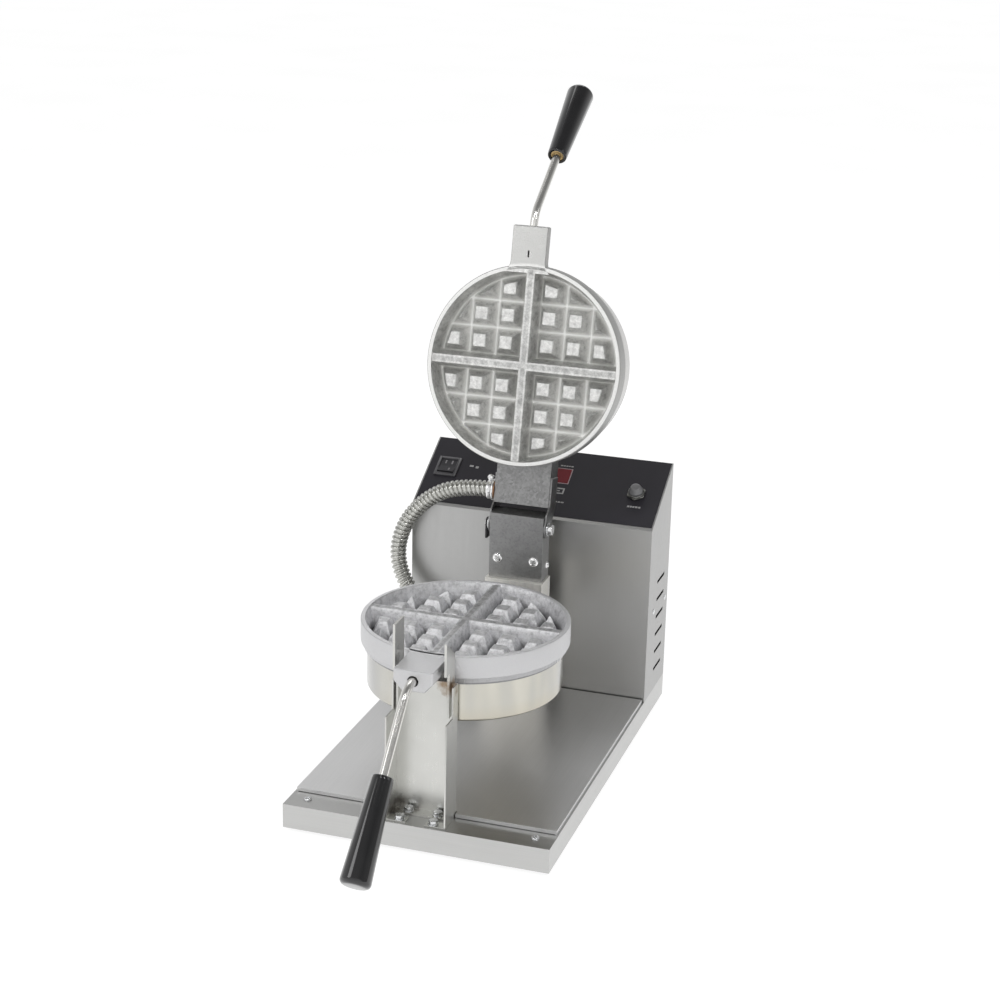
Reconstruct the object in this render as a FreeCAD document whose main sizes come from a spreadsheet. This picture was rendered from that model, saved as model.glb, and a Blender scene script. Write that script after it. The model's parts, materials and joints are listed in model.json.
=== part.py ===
import FreeCAD, Part
import math
import os
import re

import Sketcher
from FreeCAD import Placement, Rotation, Vector

"""A single round waffle baker for a counter.

A stainless base pan carries a control housing at the back, a channel stand at the front and a hinge post
between them. The lower grid half is fixed to the stand and the post. The upper half is the same assembly
turned over, hinged on the post, and it rests leaning back, open.

The frame: +X to the operator's right, -Y towards the operator, +Z up. The origin lies on the counter,
under the middle of the whole machine. All lengths are millimetres.
"""

SIZES = {
    # base pan, its cover and feet
    "pan_width": 254, "pan_depth": 419.5, "pan_height": 23.5, "pan_front": -173, "sheet": 1.5,
    "foot_height": 4, "foot_radius": 11, "foot_inset": 32, "cover_sheet": 1.2, "fit": 0.2,
    # deck plate on top of the pan
    "deck_width": 250.4, "deck_front": 28.5, "deck_top": 27.5,
    # control housing, in heights above the pan's lower edge
    "housing_front": 336.7, "housing_foot": 23.6, "housing_front_top": 209.1, "housing_rear_top": 256.3,
    "slot_length": 30, "slot_height": 3.4, "slot_pitch": 19.3, "slot_first": 46.7, "slot_middle": 386.5,
    "slots": 6, "flange_width": 12,
    # panel pieces, measured right of the middle and up the slope
    "panel_slope": 95.3, "overlay_width": 251, "overlay_low": 4.5, "overlay_high": 94.6, "overlay_sheet": 0.4,
    "switch_across": -105, "switch_up": 53.5, "switch_width": 24, "switch_length": 26, "switch_depth": 20,
    "rocker_width": 17.6, "rocker_length": 20, "rocker_tilt": 8, "window_width": 51.6, "window_length": 19.3,
    "window_up": 59.85, "button_across": 99.5, "button_up": 47, "button_radius": 7.4,
    # grid halves, measured from the grid's middle and from the plane where the halves meet
    "grid_setback": 137.4, "parting_height": 174.3, "parting_gap": 0.15, "rim_radius": 97.9,
    "rim_depth": 21.5, "mouth_radius": 93.6, "floor_radius": 88.9, "floor_depth": 20,
    "spigot_radius": 90, "spigot_depth": 28.3,
    "stud_first": 20.9, "stud_pitch": 26.8, "stud_foot": 12.4, "stud_top": 6, "stud_rise": 14.6,
    "bar_top": 4, "bar_foot": 8.4, "bar_drop": 1.8, "lug_depth": 20,
    "upper_lug_half": 17.5, "lower_lug_half": 18.5,
    "upper_lug_reach": 135.4, "lower_lug_reach": 138.5, "upper_shift": 3.7, "lower_shift": -1.5,
    "shell_radius": 91.85, "shell_depth": 65.6, "shell_sheet": 1.5, "shell_corner": 3,
    "heater_depth": 33.4, "heater_radius": 82, "clamp_depth": 36.4, "bolt_radius": 4,
    # handles
    "rod_radius": 4, "rod_start": 113, "rod_depth": 10, "upper_bend": 146.6, "upper_reach": 206.2,
    "upper_drop": 68.9, "lower_bend": 153, "lower_reach": 209.4, "lower_drop": 69.8,
    "insert_radius": 6.6, "insert_depth": 4, "grip_length": 96.5, "grip_neck": 9.5, "grip_end": 14,
    "grip_dome": 5,
    # hinge, measured from the pan's front and lower edges and from the parting plane
    "pivot_setback": 297.8, "pivot_rise": 37.3, "open_angle": 102.2, "pin_radius": 3.5, "running": 0.05,
    "arm_half_width": 28, "arm_near": 38.1, "arm_far": 63.3, "arm_sheet": 1.5, "ear_sheet": 1.6,
    "ear_radius": 9,
    "bracket_half_width": 27.7, "bracket_front": 289.5, "bracket_back": 312, "bracket_top": 225,
    "bracket_screw_height": 178.5,
    "post_half_width": 29.8, "post_front": 284, "post_top": 158,
    # front stand
    "stand_half_width": 29, "stand_front": 3, "stand_web": 31, "stand_web_top": 153.8, "stand_step": 124.5,
    "ear_gap": 21.6, "ear_front": 15.5, "ear_back": 38.5, "ear_root": 24, "ear_low": 165, "ear_top": 196.3,
    "ear_back_top": 179, "left_ear_gap": 24.4, "left_ear_top": 208,
    # conduit
    "conduit_radius": 8.15, "conduit_end": 39.5,
}
WORD = re.compile(r"[a-z][a-z_]*")
IDENTITY = Placement()
X_AXIS = Vector(1, 0, 0)
NODES = []

doc = FreeCAD.newDocument("WaffleBaker")
sizes_sheet = doc.addObject("Spreadsheet::Sheet", "Sizes")


# ---- helpers -------------------------------------------------------------------------------------

def fill_sheet():
    for row, (alias, value) in enumerate(SIZES.items(), start=1):
        sizes_sheet.set(f"A{row}", alias)
        sizes_sheet.set(f"B{row}", str(value))
        sizes_sheet.setAlias(f"B{row}", alias)
    doc.recompute()


def size(alias):
    return float(sizes_sheet.get(alias))


def formula(text):
    """A formula of size names, as the document's expressions spell it."""
    return WORD.sub(lambda word: "Sizes." * (word.group() in SIZES) + word.group(), str(text))


def bind(thing, **formulas):
    for name, text in formulas.items():
        thing.setExpression(name.replace("_", "."), formula(text))
    return thing


def place(thing, x, y, z):
    for axis, text in zip("xyz", (x, y, z)):
        thing.setExpression("Placement.Base." + axis, formula(text))
    return thing


def block(name, x, y, z):
    """A box between two formulas along each axis."""
    solid = doc.addObject("Part::Box", name)
    bind(solid, Length=f"({x[1]}) - ({x[0]})", Width=f"({y[1]}) - ({y[0]})", Height=f"({z[1]}) - ({z[0]})")
    return place(solid, x[0], y[0], z[0])


def rod(name, radius, start, end, x=0, y=0, z=0, along="z"):
    """A cylinder along one axis, from start to end."""
    solid = doc.addObject("Part::Cylinder", name)
    bind(solid, Radius=radius, Height=f"({end}) - ({start})")
    turns = {"x": Rotation(Vector(0, 1, 0), 90), "y": Rotation(X_AXIS, -90), "z": Rotation()}
    solid.Placement.Rotation = turns[along]
    where = {"x": x, "y": y, "z": z, along: start}
    return place(solid, where["x"], where["y"], where["z"])


def hexagon(name, across_flats, start, end, x=0, y=0, z=0, along="z"):
    """A hexagonal prism along one axis."""
    solid = doc.addObject("Part::Prism", name)
    solid.Polygon = 6
    bind(solid, Circumradius=f"({across_flats}) / sqrt(3)", Height=f"({end}) - ({start})")
    turns = {"x": Rotation(Vector(0, 1, 0), 90), "y": Rotation(X_AXIS, -90), "z": Rotation()}
    solid.Placement.Rotation = turns[along]
    where = {"x": x, "y": y, "z": z, along: start}
    return place(solid, where["x"], where["y"], where["z"])


def fused(name, solids):
    if len(solids) == 1:
        return solids[0]
    union = doc.addObject("Part::MultiFuse", name)
    union.Shapes = solids
    union.Refine = True
    return union


def cut(name, base, tools):
    """The base with every tool taken away."""
    result = doc.addObject("Part::Cut", name)
    result.Base = base
    result.Tool = fused(name + "_tools", tools)
    return result


def gathered(name, solids):
    """Separate solids kept in one piece of the tree, such as a set of screws."""
    group = doc.addObject("Part::Compound", name)
    group.Links = solids
    return group


def node(label, thing, frame=IDENTITY):
    """Names a finished sub-part, puts it in its frame and lists it for export."""
    thing.Label = label
    thing.Placement = frame
    NODES.append(thing)
    return thing


def origin_plane(body, role):
    return next(plane for plane in body.Origin.OriginFeatures if plane.Role == role)


def sketch(body, name, role, outlines):
    """A sketch of closed outlines, each corner held by two dimensions bound to the sheet."""
    drawing = body.newObject("Sketcher::SketchObject", name)
    drawing.AttachmentSupport = [(origin_plane(body, role), "")]
    drawing.MapMode = "FlatFace"
    for corners in outlines:
        draw_outline(drawing, corners)
    return drawing


def draw_outline(drawing, corners):
    probe = [Vector(10 * math.cos(step), 10 * math.sin(step), 0)
             for step in (2 * math.pi * index / len(corners) for index in range(len(corners)))]
    first = drawing.GeometryCount
    for start, end in zip(probe, probe[1:] + probe[:1]):
        drawing.addGeometry(Part.LineSegment(start, end), False)
    for index, (across, up) in enumerate(corners):
        line = first + index
        following = first + (index + 1) % len(corners)
        drawing.addConstraint(Sketcher.Constraint("Coincident", line, 2, following, 1))
        for kind, text, guess in (("DistanceX", across, probe[index].x), ("DistanceY", up, probe[index].y)):
            held = drawing.addConstraint(Sketcher.Constraint(kind, -1, 1, line, 1, guess))
            drawing.setExpression(f"Constraints[{held}]", formula(text))


def padded(name, role, outlines, length, middle=False, flip=False, taper=None):
    """A body with one sketch padded to a length."""
    body = doc.addObject("PartDesign::Body", name)
    profile = sketch(body, name + "_outline", role, outlines)
    pad = body.newObject("PartDesign::Pad", name + "_pad")
    pad.Profile = profile
    bind(pad, Length=length)
    pad.Midplane = middle
    pad.Reversed = flip
    if taper is not None:
        bind(pad, TaperAngle=taper)
    profile.Visibility = False
    return body


def pocketed(body, name, role, outlines, length):
    """Cuts a sketch through a body, the same depth each side of the sketch's plane."""
    profile = sketch(body, name + "_outline", role, outlines)
    pocket = body.newObject("PartDesign::Pocket", name)
    pocket.Profile = profile
    bind(pocket, Length=length)
    pocket.Midplane = True
    profile.Visibility = False
    return pocket


def turned(name, outline):
    """A body of revolution about its own Z axis, from corners given as radius and height."""
    body = doc.addObject("PartDesign::Body", name)
    profile = sketch(body, name + "_outline", "XZ_Plane", [outline])
    spin = body.newObject("PartDesign::Revolution", name + "_turn")
    spin.Profile = profile
    spin.ReferenceAxis = (profile, ["V_Axis"])
    spin.Angle = 360
    profile.Visibility = False
    return body


def rounded(body, name, radius, chosen):
    """Fillets the edges of a body's last feature that a test picks out."""
    doc.recompute()
    last = body.Tip
    names = [f"Edge{number}" for number, edge in enumerate(last.Shape.Edges, start=1) if chosen(edge)]
    fillet = body.newObject("PartDesign::Fillet", name)
    fillet.Base = (last, names)
    bind(fillet, Radius=radius)
    return fillet


def path_wire(points, radii):
    """Straight runs through the points, joined by tangent arcs of the radii at the inner points."""
    edges = []
    start = points[0]
    for before, corner, after, radius in zip(points, points[1:], points[2:], radii):
        inward = (before - corner).normalize()
        outward = (after - corner).normalize()
        half_turn = (math.pi - inward.getAngle(outward)) / 2
        tangent = radius * math.tan(half_turn)
        arc_start = corner + inward * tangent
        arc_end = corner + outward * tangent
        to_centre = (inward + outward).normalize()
        arc_middle = corner + to_centre * (radius / math.cos(half_turn) - radius)
        edges.append(Part.LineSegment(start, arc_start).toShape())
        edges.append(Part.Arc(arc_start, arc_middle, arc_end).toShape())
        start = arc_end
    edges.append(Part.LineSegment(start, points[-1]).toShape())
    return Part.Wire(edges)


def tube(name, points, radii, radius):
    """A round bar swept along a path, checked against its section times its length."""
    path = path_wire(points, radii)
    circle = Part.makeCircle(radius, points[0], points[1] - points[0])
    feature = doc.addObject("Part::Feature", name)
    feature.Shape = path.makePipeShell([Part.Wire(circle)], True, True)
    expected = math.pi * radius ** 2 * path.Length
    if abs(feature.Shape.Volume - expected) > 0.01 * expected:
        raise RuntimeError(f"{name}: volume {feature.Shape.Volume:.0f}, expected {expected:.0f}")
    return feature


def screws(label, heads, frame, along="z", head_radius=4, head=2.4, shank_radius=2, shank=8, hexed=False):
    """A group of screws: each head stands on the point given, and its shank runs the other way.

    heads: (x, y, z, sign), where sign is the way the head faces along the axis."""
    solids = []
    for number, (x, y, z, sign) in enumerate(heads):
        level = {"x": x, "y": y, "z": z}[along]
        spans = sorted([level, level + sign * head]), sorted([level, level - sign * shank])
        build = hexagon if hexed else rod
        width = 2 * head_radius if hexed else head_radius
        cap = build(f"{label}_head{number}", width, *spans[0], x=x, y=y, z=z, along=along)
        stem = rod(f"{label}_stem{number}", shank_radius, *spans[1], x=x, y=y, z=z, along=along)
        solids.append(fused(f"{label}_one{number}", [cap, stem]))
    return node(label, gathered(label, solids), frame)


def mirrored(positions):
    """Each (x, ...) position and its twin at -x."""
    return [(side * x, *rest) for x, *rest in positions for side in (-1, 1)]


# ---- frames --------------------------------------------------------------------------------------

def make_frames():
    """Where each group of sub-parts is drawn: the base from the pan's lower front edge, the panel from the
    slope's lower edge, and each grid half from its middle on the parting plane, depth downwards."""
    base = Placement(Vector(0, size("pan_front"), size("foot_height")), Rotation())
    rise = size("housing_rear_top") - size("housing_front_top")
    slope = math.degrees(math.asin(rise / size("panel_slope")))
    foot = Vector(0, size("housing_front"), size("housing_front_top"))
    panel = base * Placement(foot, Rotation(X_AXIS, slope))
    lower = base * Placement(Vector(0, size("grid_setback"), size("parting_height")), Rotation())
    closed = lower * Placement(Vector(), Rotation(Vector(0, 1, 0), 180))
    pivot = base.multVec(Vector(0, size("pivot_setback"), size("parting_height") + size("pivot_rise")))
    swing = Placement(Vector(), Rotation(X_AXIS, -size("open_angle")), pivot)
    return base, panel, lower, swing * closed, pivot


# ---- base ----------------------------------------------------------------------------------------

PAN_X = ("-pan_width / 2", "pan_width / 2")
POST_SCREWS = mirrored([(20, 300)])
STAND_BOLTS_FRONT = mirrored([(16, 8)])
STAND_BOLTS_REAR = mirrored([(14, 25.5)])
PAN_SCREWS = mirrored([(109, 16.5)])
FEET = [(x, y) for y in ("foot_inset", "pan_depth - foot_inset") for x in (-95, 95)]


def drills(name, spots, radius, start, end):
    return [rod(f"{name}{number}", radius, start, end, x=x, y=y) for number, (x, y) in enumerate(spots)]


def build_base(base):
    outer = block("pan_outer", PAN_X, (0, "pan_depth"), (0, "pan_height"))
    hollow = block("pan_hollow", ("-pan_width / 2 + sheet", "pan_width / 2 - sheet"),
                   ("sheet", "pan_depth - sheet"), (-1, "pan_height - sheet"))
    holes = drills("pan_hole", PAN_SCREWS + STAND_BOLTS_FRONT + STAND_BOLTS_REAR + POST_SCREWS, 2.6, 15, 30)
    holes.append(rod("pan_wire_hole", 9, 15, 30, x=0, y=300))
    node("base_pan", cut("pan", outer, [hollow] + holes), base)

    plate = block("cover_plate", ("-pan_width / 2 + sheet + fit", "pan_width / 2 - sheet - fit"),
                  ("sheet + fit", "pan_depth - sheet - fit"), (0, "cover_sheet"))
    node("bottom_cover", cut("cover", plate, drills("cover_hole", FEET, 2.2, -1, 5)), base)
    feet = [rod(f"foot{number}", "foot_radius", "-foot_height", 0, x=x, y=y)
            for number, (x, y) in enumerate(FEET)]
    recesses = drills("foot_recess", FEET, 4.6, "-foot_height - 1", -1.5)
    holes = drills("foot_hole", FEET, 2.2, -5, 1)
    node("rubber_feet", cut("feet", gathered("foot_blanks", feet), recesses + holes),
         base)
    screws("feet_screws", [(x, y, -1.5, -1) for x, y in FEET], base, head=1.8, shank=7)
    screws("pan_screws", [(x, y, 23.5, 1) for x, y in PAN_SCREWS], base, hexed=True, head_radius=3.8, head=3.4)

    top = block("deck_top_sheet", ("-deck_width / 2", "deck_width / 2"), ("deck_front", "housing_front - 2"),
                ("deck_top - sheet", "deck_top"))
    front = block("deck_front_lip", ("-deck_width / 2", "deck_width / 2"), ("deck_front", "deck_front + sheet"),
                  ("pan_height + 0.4", "deck_top"))
    sides = [block(f"deck_side_lip{number}", span, ("deck_front", "housing_front - 2"),
                   ("pan_height", "deck_top"))
             for number, span in enumerate((("-deck_width / 2", "-deck_width / 2 + sheet"),
                                            ("deck_width / 2 - sheet", "deck_width / 2")))]
    notch = block("deck_notch", ("-stand_half_width - 0.6", "stand_half_width + 0.6"), (0, "stand_web + 3"),
                  (20, 40))
    holes = drills("deck_hole", POST_SCREWS, 2.6, 15, 30)
    holes += [rod("deck_wire_hole", 9, 15, 30, x=0, y=300), notch]
    node("deck_plate", cut("deck", fused("deck_sheet", [top, front] + sides), holes), base)


# ---- control housing -----------------------------------------------------------------------------

def slope_line(y, inset):
    """Formula for the slope's height at a distance from the pan's front, moved in by a thickness."""
    rise = "(housing_rear_top - housing_front_top) / (pan_depth - housing_front)"
    return (f"housing_front_top + ({y} - housing_front) * {rise}"
            f" - ({inset}) * panel_slope / (pan_depth - housing_front)")


def panel_cut(name, across, up, width, length):
    """A rectangular hole through the sloped panel, in the panel's frame."""
    return block(name, (f"{across} - ({width}) / 2", f"{across} + ({width}) / 2"),
                 (f"{up} - ({length}) / 2", f"{up} + ({length}) / 2"), (-6, 6))


def panel_holes(name, margin):
    """The three cut-outs of the panel, each larger than its piece by a margin."""
    return [panel_cut(name + "_switch", "switch_across", "switch_up", f"switch_width - 3 + {margin}",
                      f"switch_length - 3 + {margin}"),
            panel_cut(name + "_window", 0, "window_up", f"window_width + {margin}", f"window_length + {margin}"),
            rod(name + "_button", f"6 + {margin} / 2", -6, 6, x="button_across", y="button_up")]


def build_housing(base, panel):
    shell = padded("shell", "YZ_Plane",
                   [[("housing_front", "housing_foot"), ("pan_depth", "housing_foot"),
                     ("pan_depth", "housing_rear_top"), ("housing_front", "housing_front_top")]],
                   "pan_width", middle=True)
    inner_back = "pan_depth + 2"
    pocketed(shell, "shell_hollow", "YZ_Plane",
             [[("housing_front + sheet", "housing_foot - 2"), (inner_back, "housing_foot - 2"),
               (inner_back, slope_line(inner_back, "sheet")),
               ("housing_front + sheet", slope_line("(housing_front + sheet)", "sheet"))]],
             "pan_width - 2 * sheet")
    slot_y = ("slot_middle - slot_length / 2", "slot_middle + slot_length / 2")
    slots = pocketed(shell, "shell_slot", "YZ_Plane",
                     [[(slot_y[0], "slot_first - slot_height / 2"), (slot_y[1], "slot_first - slot_height / 2"),
                       (slot_y[1], "slot_first + slot_height / 2"), (slot_y[0], "slot_first + slot_height / 2")]],
                     "pan_width + 10")
    rows = shell.newObject("PartDesign::LinearPattern", "shell_slots")
    rows.Originals = [slots]
    rows.Direction = (origin_plane(shell, "XY_Plane"), [""])
    bind(rows, Length="slot_pitch * (slots - 1)", Occurrences="slots")
    shell.Tip = rows

    flanges = [block(f"rear_flange{number}", span, ("pan_depth - sheet - 1.7", "pan_depth - sheet - fit"),
                     ("housing_foot", "housing_foot + 222"))
               for number, span in enumerate((("-pan_width / 2 + 1", "-pan_width / 2 + sheet + flange_width"),
                                              ("pan_width / 2 - sheet - flange_width", "pan_width / 2 - 1")))]
    rear_screws = mirrored([(118, z) for z in (36, 135, 234)])
    holes = panel_holes("shell_hole", 0.6)
    relative = base.inverse() * panel
    cutter = gathered("shell_cutter", holes)
    cutter.Placement = relative
    rivet_spots = [(side * size("pan_width") / 2, y, z)
                   for side in (-1, 1) for y, z in ((408, 114), (360.5, 115))]
    rivet_holes = [rod(f"rivet_hole{number}", 1.6, x - 4, x + 4, y=y, z=z, along="x")
                   for number, (x, y, z) in enumerate(rivet_spots)]
    screw_holes = [rod(f"rear_hole{number}", 2.2, "pan_depth - 8", "pan_depth + 2", x=x, z=z, along="y")
                   for number, (x, z) in enumerate(rear_screws)]
    node("housing_shell", cut("housing", fused("housing_sheet", [shell] + flanges),
                              [cutter] + rivet_holes + screw_holes), base)
    screws("side_rivets", [(x, y, z, 1 if x > 0 else -1) for x, y, z in rivet_spots], base, along="x",
           head_radius=2.6, head=0.9, shank_radius=1.5, shank=3.4)

    rear = block("rear_plate", ("-pan_width / 2 + sheet + fit", "pan_width / 2 - sheet - fit"),
                 ("pan_depth - sheet", "pan_depth"),
                 ("housing_foot", "housing_rear_top - sheet - 2.4"))
    vents = [block(f"rear_vent{number}", (x - 30, x + 30), (400, 430), (z, z + 3.4))
             for number, (x, z) in enumerate((x, z) for x in (-45, 45) for z in (185, 195, 205, 215))]
    cover_holes = [rod(f"cover_screw_hole{number}", 2.2, 400, 430, x=x, z=z, along="y")
                   for number, (x, z) in enumerate(rear_screws)]
    gland_hole = rod("gland_hole", 10.2, 400, 430, x=-70, z=58, along="y")
    node("housing_rear_cover", cut("rear_cover", rear, vents + cover_holes + [gland_hole]), base)
    screws("rear_cover_screws", [(x, size("pan_depth"), z, 1) for x, z in rear_screws], base, along="y",
           head_radius=3.8, head=2.2, shank=7)

    body = [rod("gland_barrel", 10, 408, 424, x=-70, z=58, along="y"),
            hexagon("gland_nut", 25, 410.5, 417.8, x=-70, z=58, along="y"),
            hexagon("gland_flange", 24, 419.6, 424, x=-70, z=58, along="y"),
            rod("gland_dome", 9, 424, 434, x=-70, z=58, along="y")]
    node("inlet_gland", cut("gland", fused("gland_body", body),
                            [rod("gland_bore", 4.5, 400, 440, x=-70, z=58, along="y")]), base)


def build_panel(panel):
    skin = block("overlay_skin", ("-overlay_width / 2", "overlay_width / 2"), ("overlay_low", "overlay_high"),
                 (0.05, "overlay_sheet"))
    node("control_overlay", cut("overlay", skin, panel_holes("overlay_hole", 0.6)), panel)

    def centred(name, width, length, low, high):
        return block(name, (f"switch_across - ({width}) / 2", f"switch_across + ({width}) / 2"),
                     (f"switch_up - ({length}) / 2", f"switch_up + ({length}) / 2"), (low, high))
    bezel = centred("switch_bezel", "switch_width", "switch_length", "overlay_sheet + 0.05", 2.4)
    can = centred("switch_can", "switch_width - 3", "switch_length - 3", "-switch_depth", 1)
    well = centred("switch_well", "rocker_width + 0.8", "rocker_length + 1", -9, 5)
    blades = [block(f"switch_blade{number}", (f"switch_across + {x - 3}", f"switch_across + {x + 3}"),
                    (f"switch_up + {s - 0.4}", f"switch_up + {s + 0.4}"), ("-switch_depth - 9", "-switch_depth"))
              for number, (x, s) in enumerate((x, s) for x in (-5, 5) for s in (-7, 7))]
    sockets = rod("rocker_sockets", 1.55, "switch_across - 10.2", "switch_across + 10.2", y="switch_up", z=0.4,
                  along="x")
    solid = fused("switch_solid", [bezel, can] + blades)
    node("power_switch_body", cut("switch", solid, [well, sockets]), panel)

    rocker = padded("rocker", "YZ_Plane",
                    [[("-rocker_length / 2 + 2.4", -3.6), ("rocker_length / 2 - 2.4", -3.6),
                      ("rocker_length / 2 - 0.4", 2.6), (0, 1.4), ("-rocker_length / 2 + 0.4", 2.6)]],
                    "rocker_width", middle=True)
    middle = Vector(size("switch_across"), size("switch_up"), 0.4)
    tilt = Placement(middle, Rotation(X_AXIS, -size("rocker_tilt")))
    axle = rod("rocker_axle", 1.5, -10, 10, along="x")
    node("power_rocker", fused("rocker_and_axle", [rocker, axle]), panel * tilt)

    node("display_window", gathered("window", [
        block("window_lens", ("-window_width / 2", "window_width / 2"),
              ("window_up - window_length / 2", "window_up + window_length / 2"), (-1.6, 0.9))]), panel)
    digits = [block(f"digit{number}", (x - 6, x + 6), ("window_up - 8.5", "window_up + 8.5"), (-8, -1.7))
              for number, x in enumerate((-19, -6.4, 6.4, 19))]
    board = block("display_board", (-34, 34), ("window_up - 15", "window_up + 15"), (-9.8, -8))
    node("display_module", fused("display", digits + [board]), panel)

    spot = {"x": "button_across", "y": "button_up"}
    bush = fused("bush_body", [rod("bush_barrel", 5.9, -20, 1, **spot),
                               rod("bush_flange", 9, 0.45, 3.4, **spot),
                               hexagon("bush_nut", 16, -5, -1.7, **spot)])
    bores = [rod("bush_bore", 4.1, -12, 5, **spot), rod("bush_bottom", 1.2, -25, 5, **spot)]
    node("start_button_bushing", cut("bush", bush, bores), panel)
    cap = [rod("button_stem", 4, -7, 7, **spot), rod("button_cap", "button_radius", 6.6, 11.6, **spot)]
    node("start_button", fused("button", cap), panel)
    spring = cut("spring_tube", rod("spring_outer", 3.6, -11.9, -7.1, **spot),
                 [rod("spring_inner", 2.6, -13, -6, **spot)])
    node("start_button_spring", spring, panel)


def build_electrics(base):
    front = "housing_front + sheet"
    node("board_standoffs", gathered("standoffs", [
        rod(f"standoff{number}", 3, f"{front} + 0.05", f"{front} + 8", x=x, z=z, along="y")
        for number, (x, z) in enumerate((x, z) for x in (-52, 52) for z in (70, 150))]), base)
    pcb = block("pcb", (-60, 60), (f"{front} + 8", f"{front} + 9.6"), (62, 158))
    chips = [block("chip_driver", (-40, -22), (f"{front} + 9.6", f"{front} + 13"), (90, 112)),
             block("chip_logic", (-10, 12), (f"{front} + 9.6", f"{front} + 12"), (120, 134)),
             rod("capacitor", 6, f"{front} + 9.6", f"{front} + 24", x=36, z=92, along="y")]
    node("control_board", fused("board", [pcb] + chips), base)
    node("buzzer", gathered("buzzer_can", [
        rod("buzzer_body", 8, f"{front} + 9.65", f"{front} + 18", x=-38, z=138, along="y")]), base)
    core = block("core", (58, 104), (362, 398), ("housing_foot + 0.1", 66))
    coil = block("coil", (64, 98), (354, 406), (32, 58))
    node("transformer", fused("transformer_body", [core, coil]), base)
    node("power_relay", gathered("relay", [
        block("relay_body", (-112, -68), (362, 388), ("housing_foot + 0.1", 82))]), base)
    strip = block("strip", (-24, 24), (378, 400), ("housing_foot + 0.1", 44))
    wells = [rod(f"strip_well{number}", 3, 34, 50, x=x, y=389) for number, x in enumerate((-16, 0, 16))]
    node("terminal_block", cut("terminals", strip, wells), base)


# ---- front stand, hinge post and bracket ---------------------------------------------------------

def sides_of(name, inner, outer, y, z):
    """The left and right copy of a plate that stands between two distances from the middle."""
    return [block(name + "_left", (f"-({outer})", f"-({inner})"), y, z),
            block(name + "_right", (inner, outer), y, z)]


def build_stand(base):
    foot = ("pan_height + 0.05", "pan_height + sheet")
    inner = "stand_half_width - sheet"
    plates = [block("stand_web_plate", ("-stand_half_width", "stand_half_width"),
                    ("stand_web", "stand_web + sheet"),
                    (foot[0], "stand_web_top")),
              block("stand_foot_plate", (f"-({inner})", inner), (19, "stand_web + 1"), foot)]
    plates += sides_of("stand_flange", inner, "stand_half_width", ("stand_front", "stand_web + sheet"),
                       (foot[0], "stand_step"))
    plates += sides_of("stand_upper", inner, "stand_half_width", (20, "stand_web + sheet"),
                       (foot[0], "stand_web_top"))
    for side, face, top in (("left", "-left_ear_gap - 2.2", "left_ear_top"), ("right", "ear_gap", "ear_top")):
        span = (face, face + " + 2.2")
        plates.append(block("stand_ear_" + side, span, ("ear_front", "ear_back"), ("ear_low", top)))
        plates.append(block("stand_ear_root_" + side, span, ("ear_root", "ear_back"), (122, "ear_low + 1")))
    plates += sides_of("stand_toe", 9, inner, ("stand_front", 13), foot)
    holes = drills("stand_hole", STAND_BOLTS_FRONT + STAND_BOLTS_REAR, 2.6, 15, 30)
    slope = [("ear_front", "ear_top"), ("ear_back", "ear_back_top"), ("ear_back + 2", "ear_back_top"),
             ("ear_back + 2", "ear_top + 2"), ("ear_front", "ear_top + 2")]
    holes.append(padded("ear_slope", "YZ_Plane", [slope], 30))
    node("front_stand", cut("stand", fused("stand_plates", plates), holes), base)
    screws("stand_bolts", [(x, y, 25.05, 1) for x, y in STAND_BOLTS_FRONT + STAND_BOLTS_REAR], base, hexed=True,
           head_radius=4, head=4, shank_radius=2.4, shank=10)


def build_post(base):
    walls = [block("post_front_wall", ("-post_half_width", "post_half_width"),
                   ("post_front", "post_front + sheet"),
                   ("deck_top + 0.05", "post_top")),
             block("post_roof", ("-post_half_width", "post_half_width"), ("post_front", "bracket_back"),
                   ("post_top - sheet", "post_top")),
             block("post_tab", (-24, 24), ("bracket_front + sheet + 0.15", "bracket_front + 2 * sheet + 0.15"),
                   ("post_top - 1", 190)),
             block("post_foot", ("-post_half_width", "post_half_width"), ("post_front", "bracket_back"),
                   ("deck_top + 0.05", "deck_top + 1.6"))]
    walls += sides_of("post_side", "post_half_width - sheet", "post_half_width", ("post_front", "bracket_back"),
                      ("deck_top + 0.05", "post_top"))
    openings = drills("post_hole", POST_SCREWS, 2.6, 20, 35)
    openings += [rod("post_wire_hole", 9, 20, 35, x=0, y=300),
                 rod("post_conduit_hole", 6, -35, -20, y=CONDUIT_LOW.y, z=CONDUIT_LOW.z, along="x"),
                 block("post_arm_window", (-16, 16), (270, 287), (117, 130))]
    openings += [rod(f"tab_hole{number}", 2.2, 285, 300, x=x, z="bracket_screw_height", along="y")
                 for number, x in enumerate((-18.8, 18.8))]
    node("rear_post", cut("post", fused("post_walls", walls), openings), base)
    screws("rear_post_screws", [(x, y, 29.1, 1) for x, y in POST_SCREWS], base, hexed=True, head_radius=4,
           head=3.5,
           shank_radius=2.4, shank=12)


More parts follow.
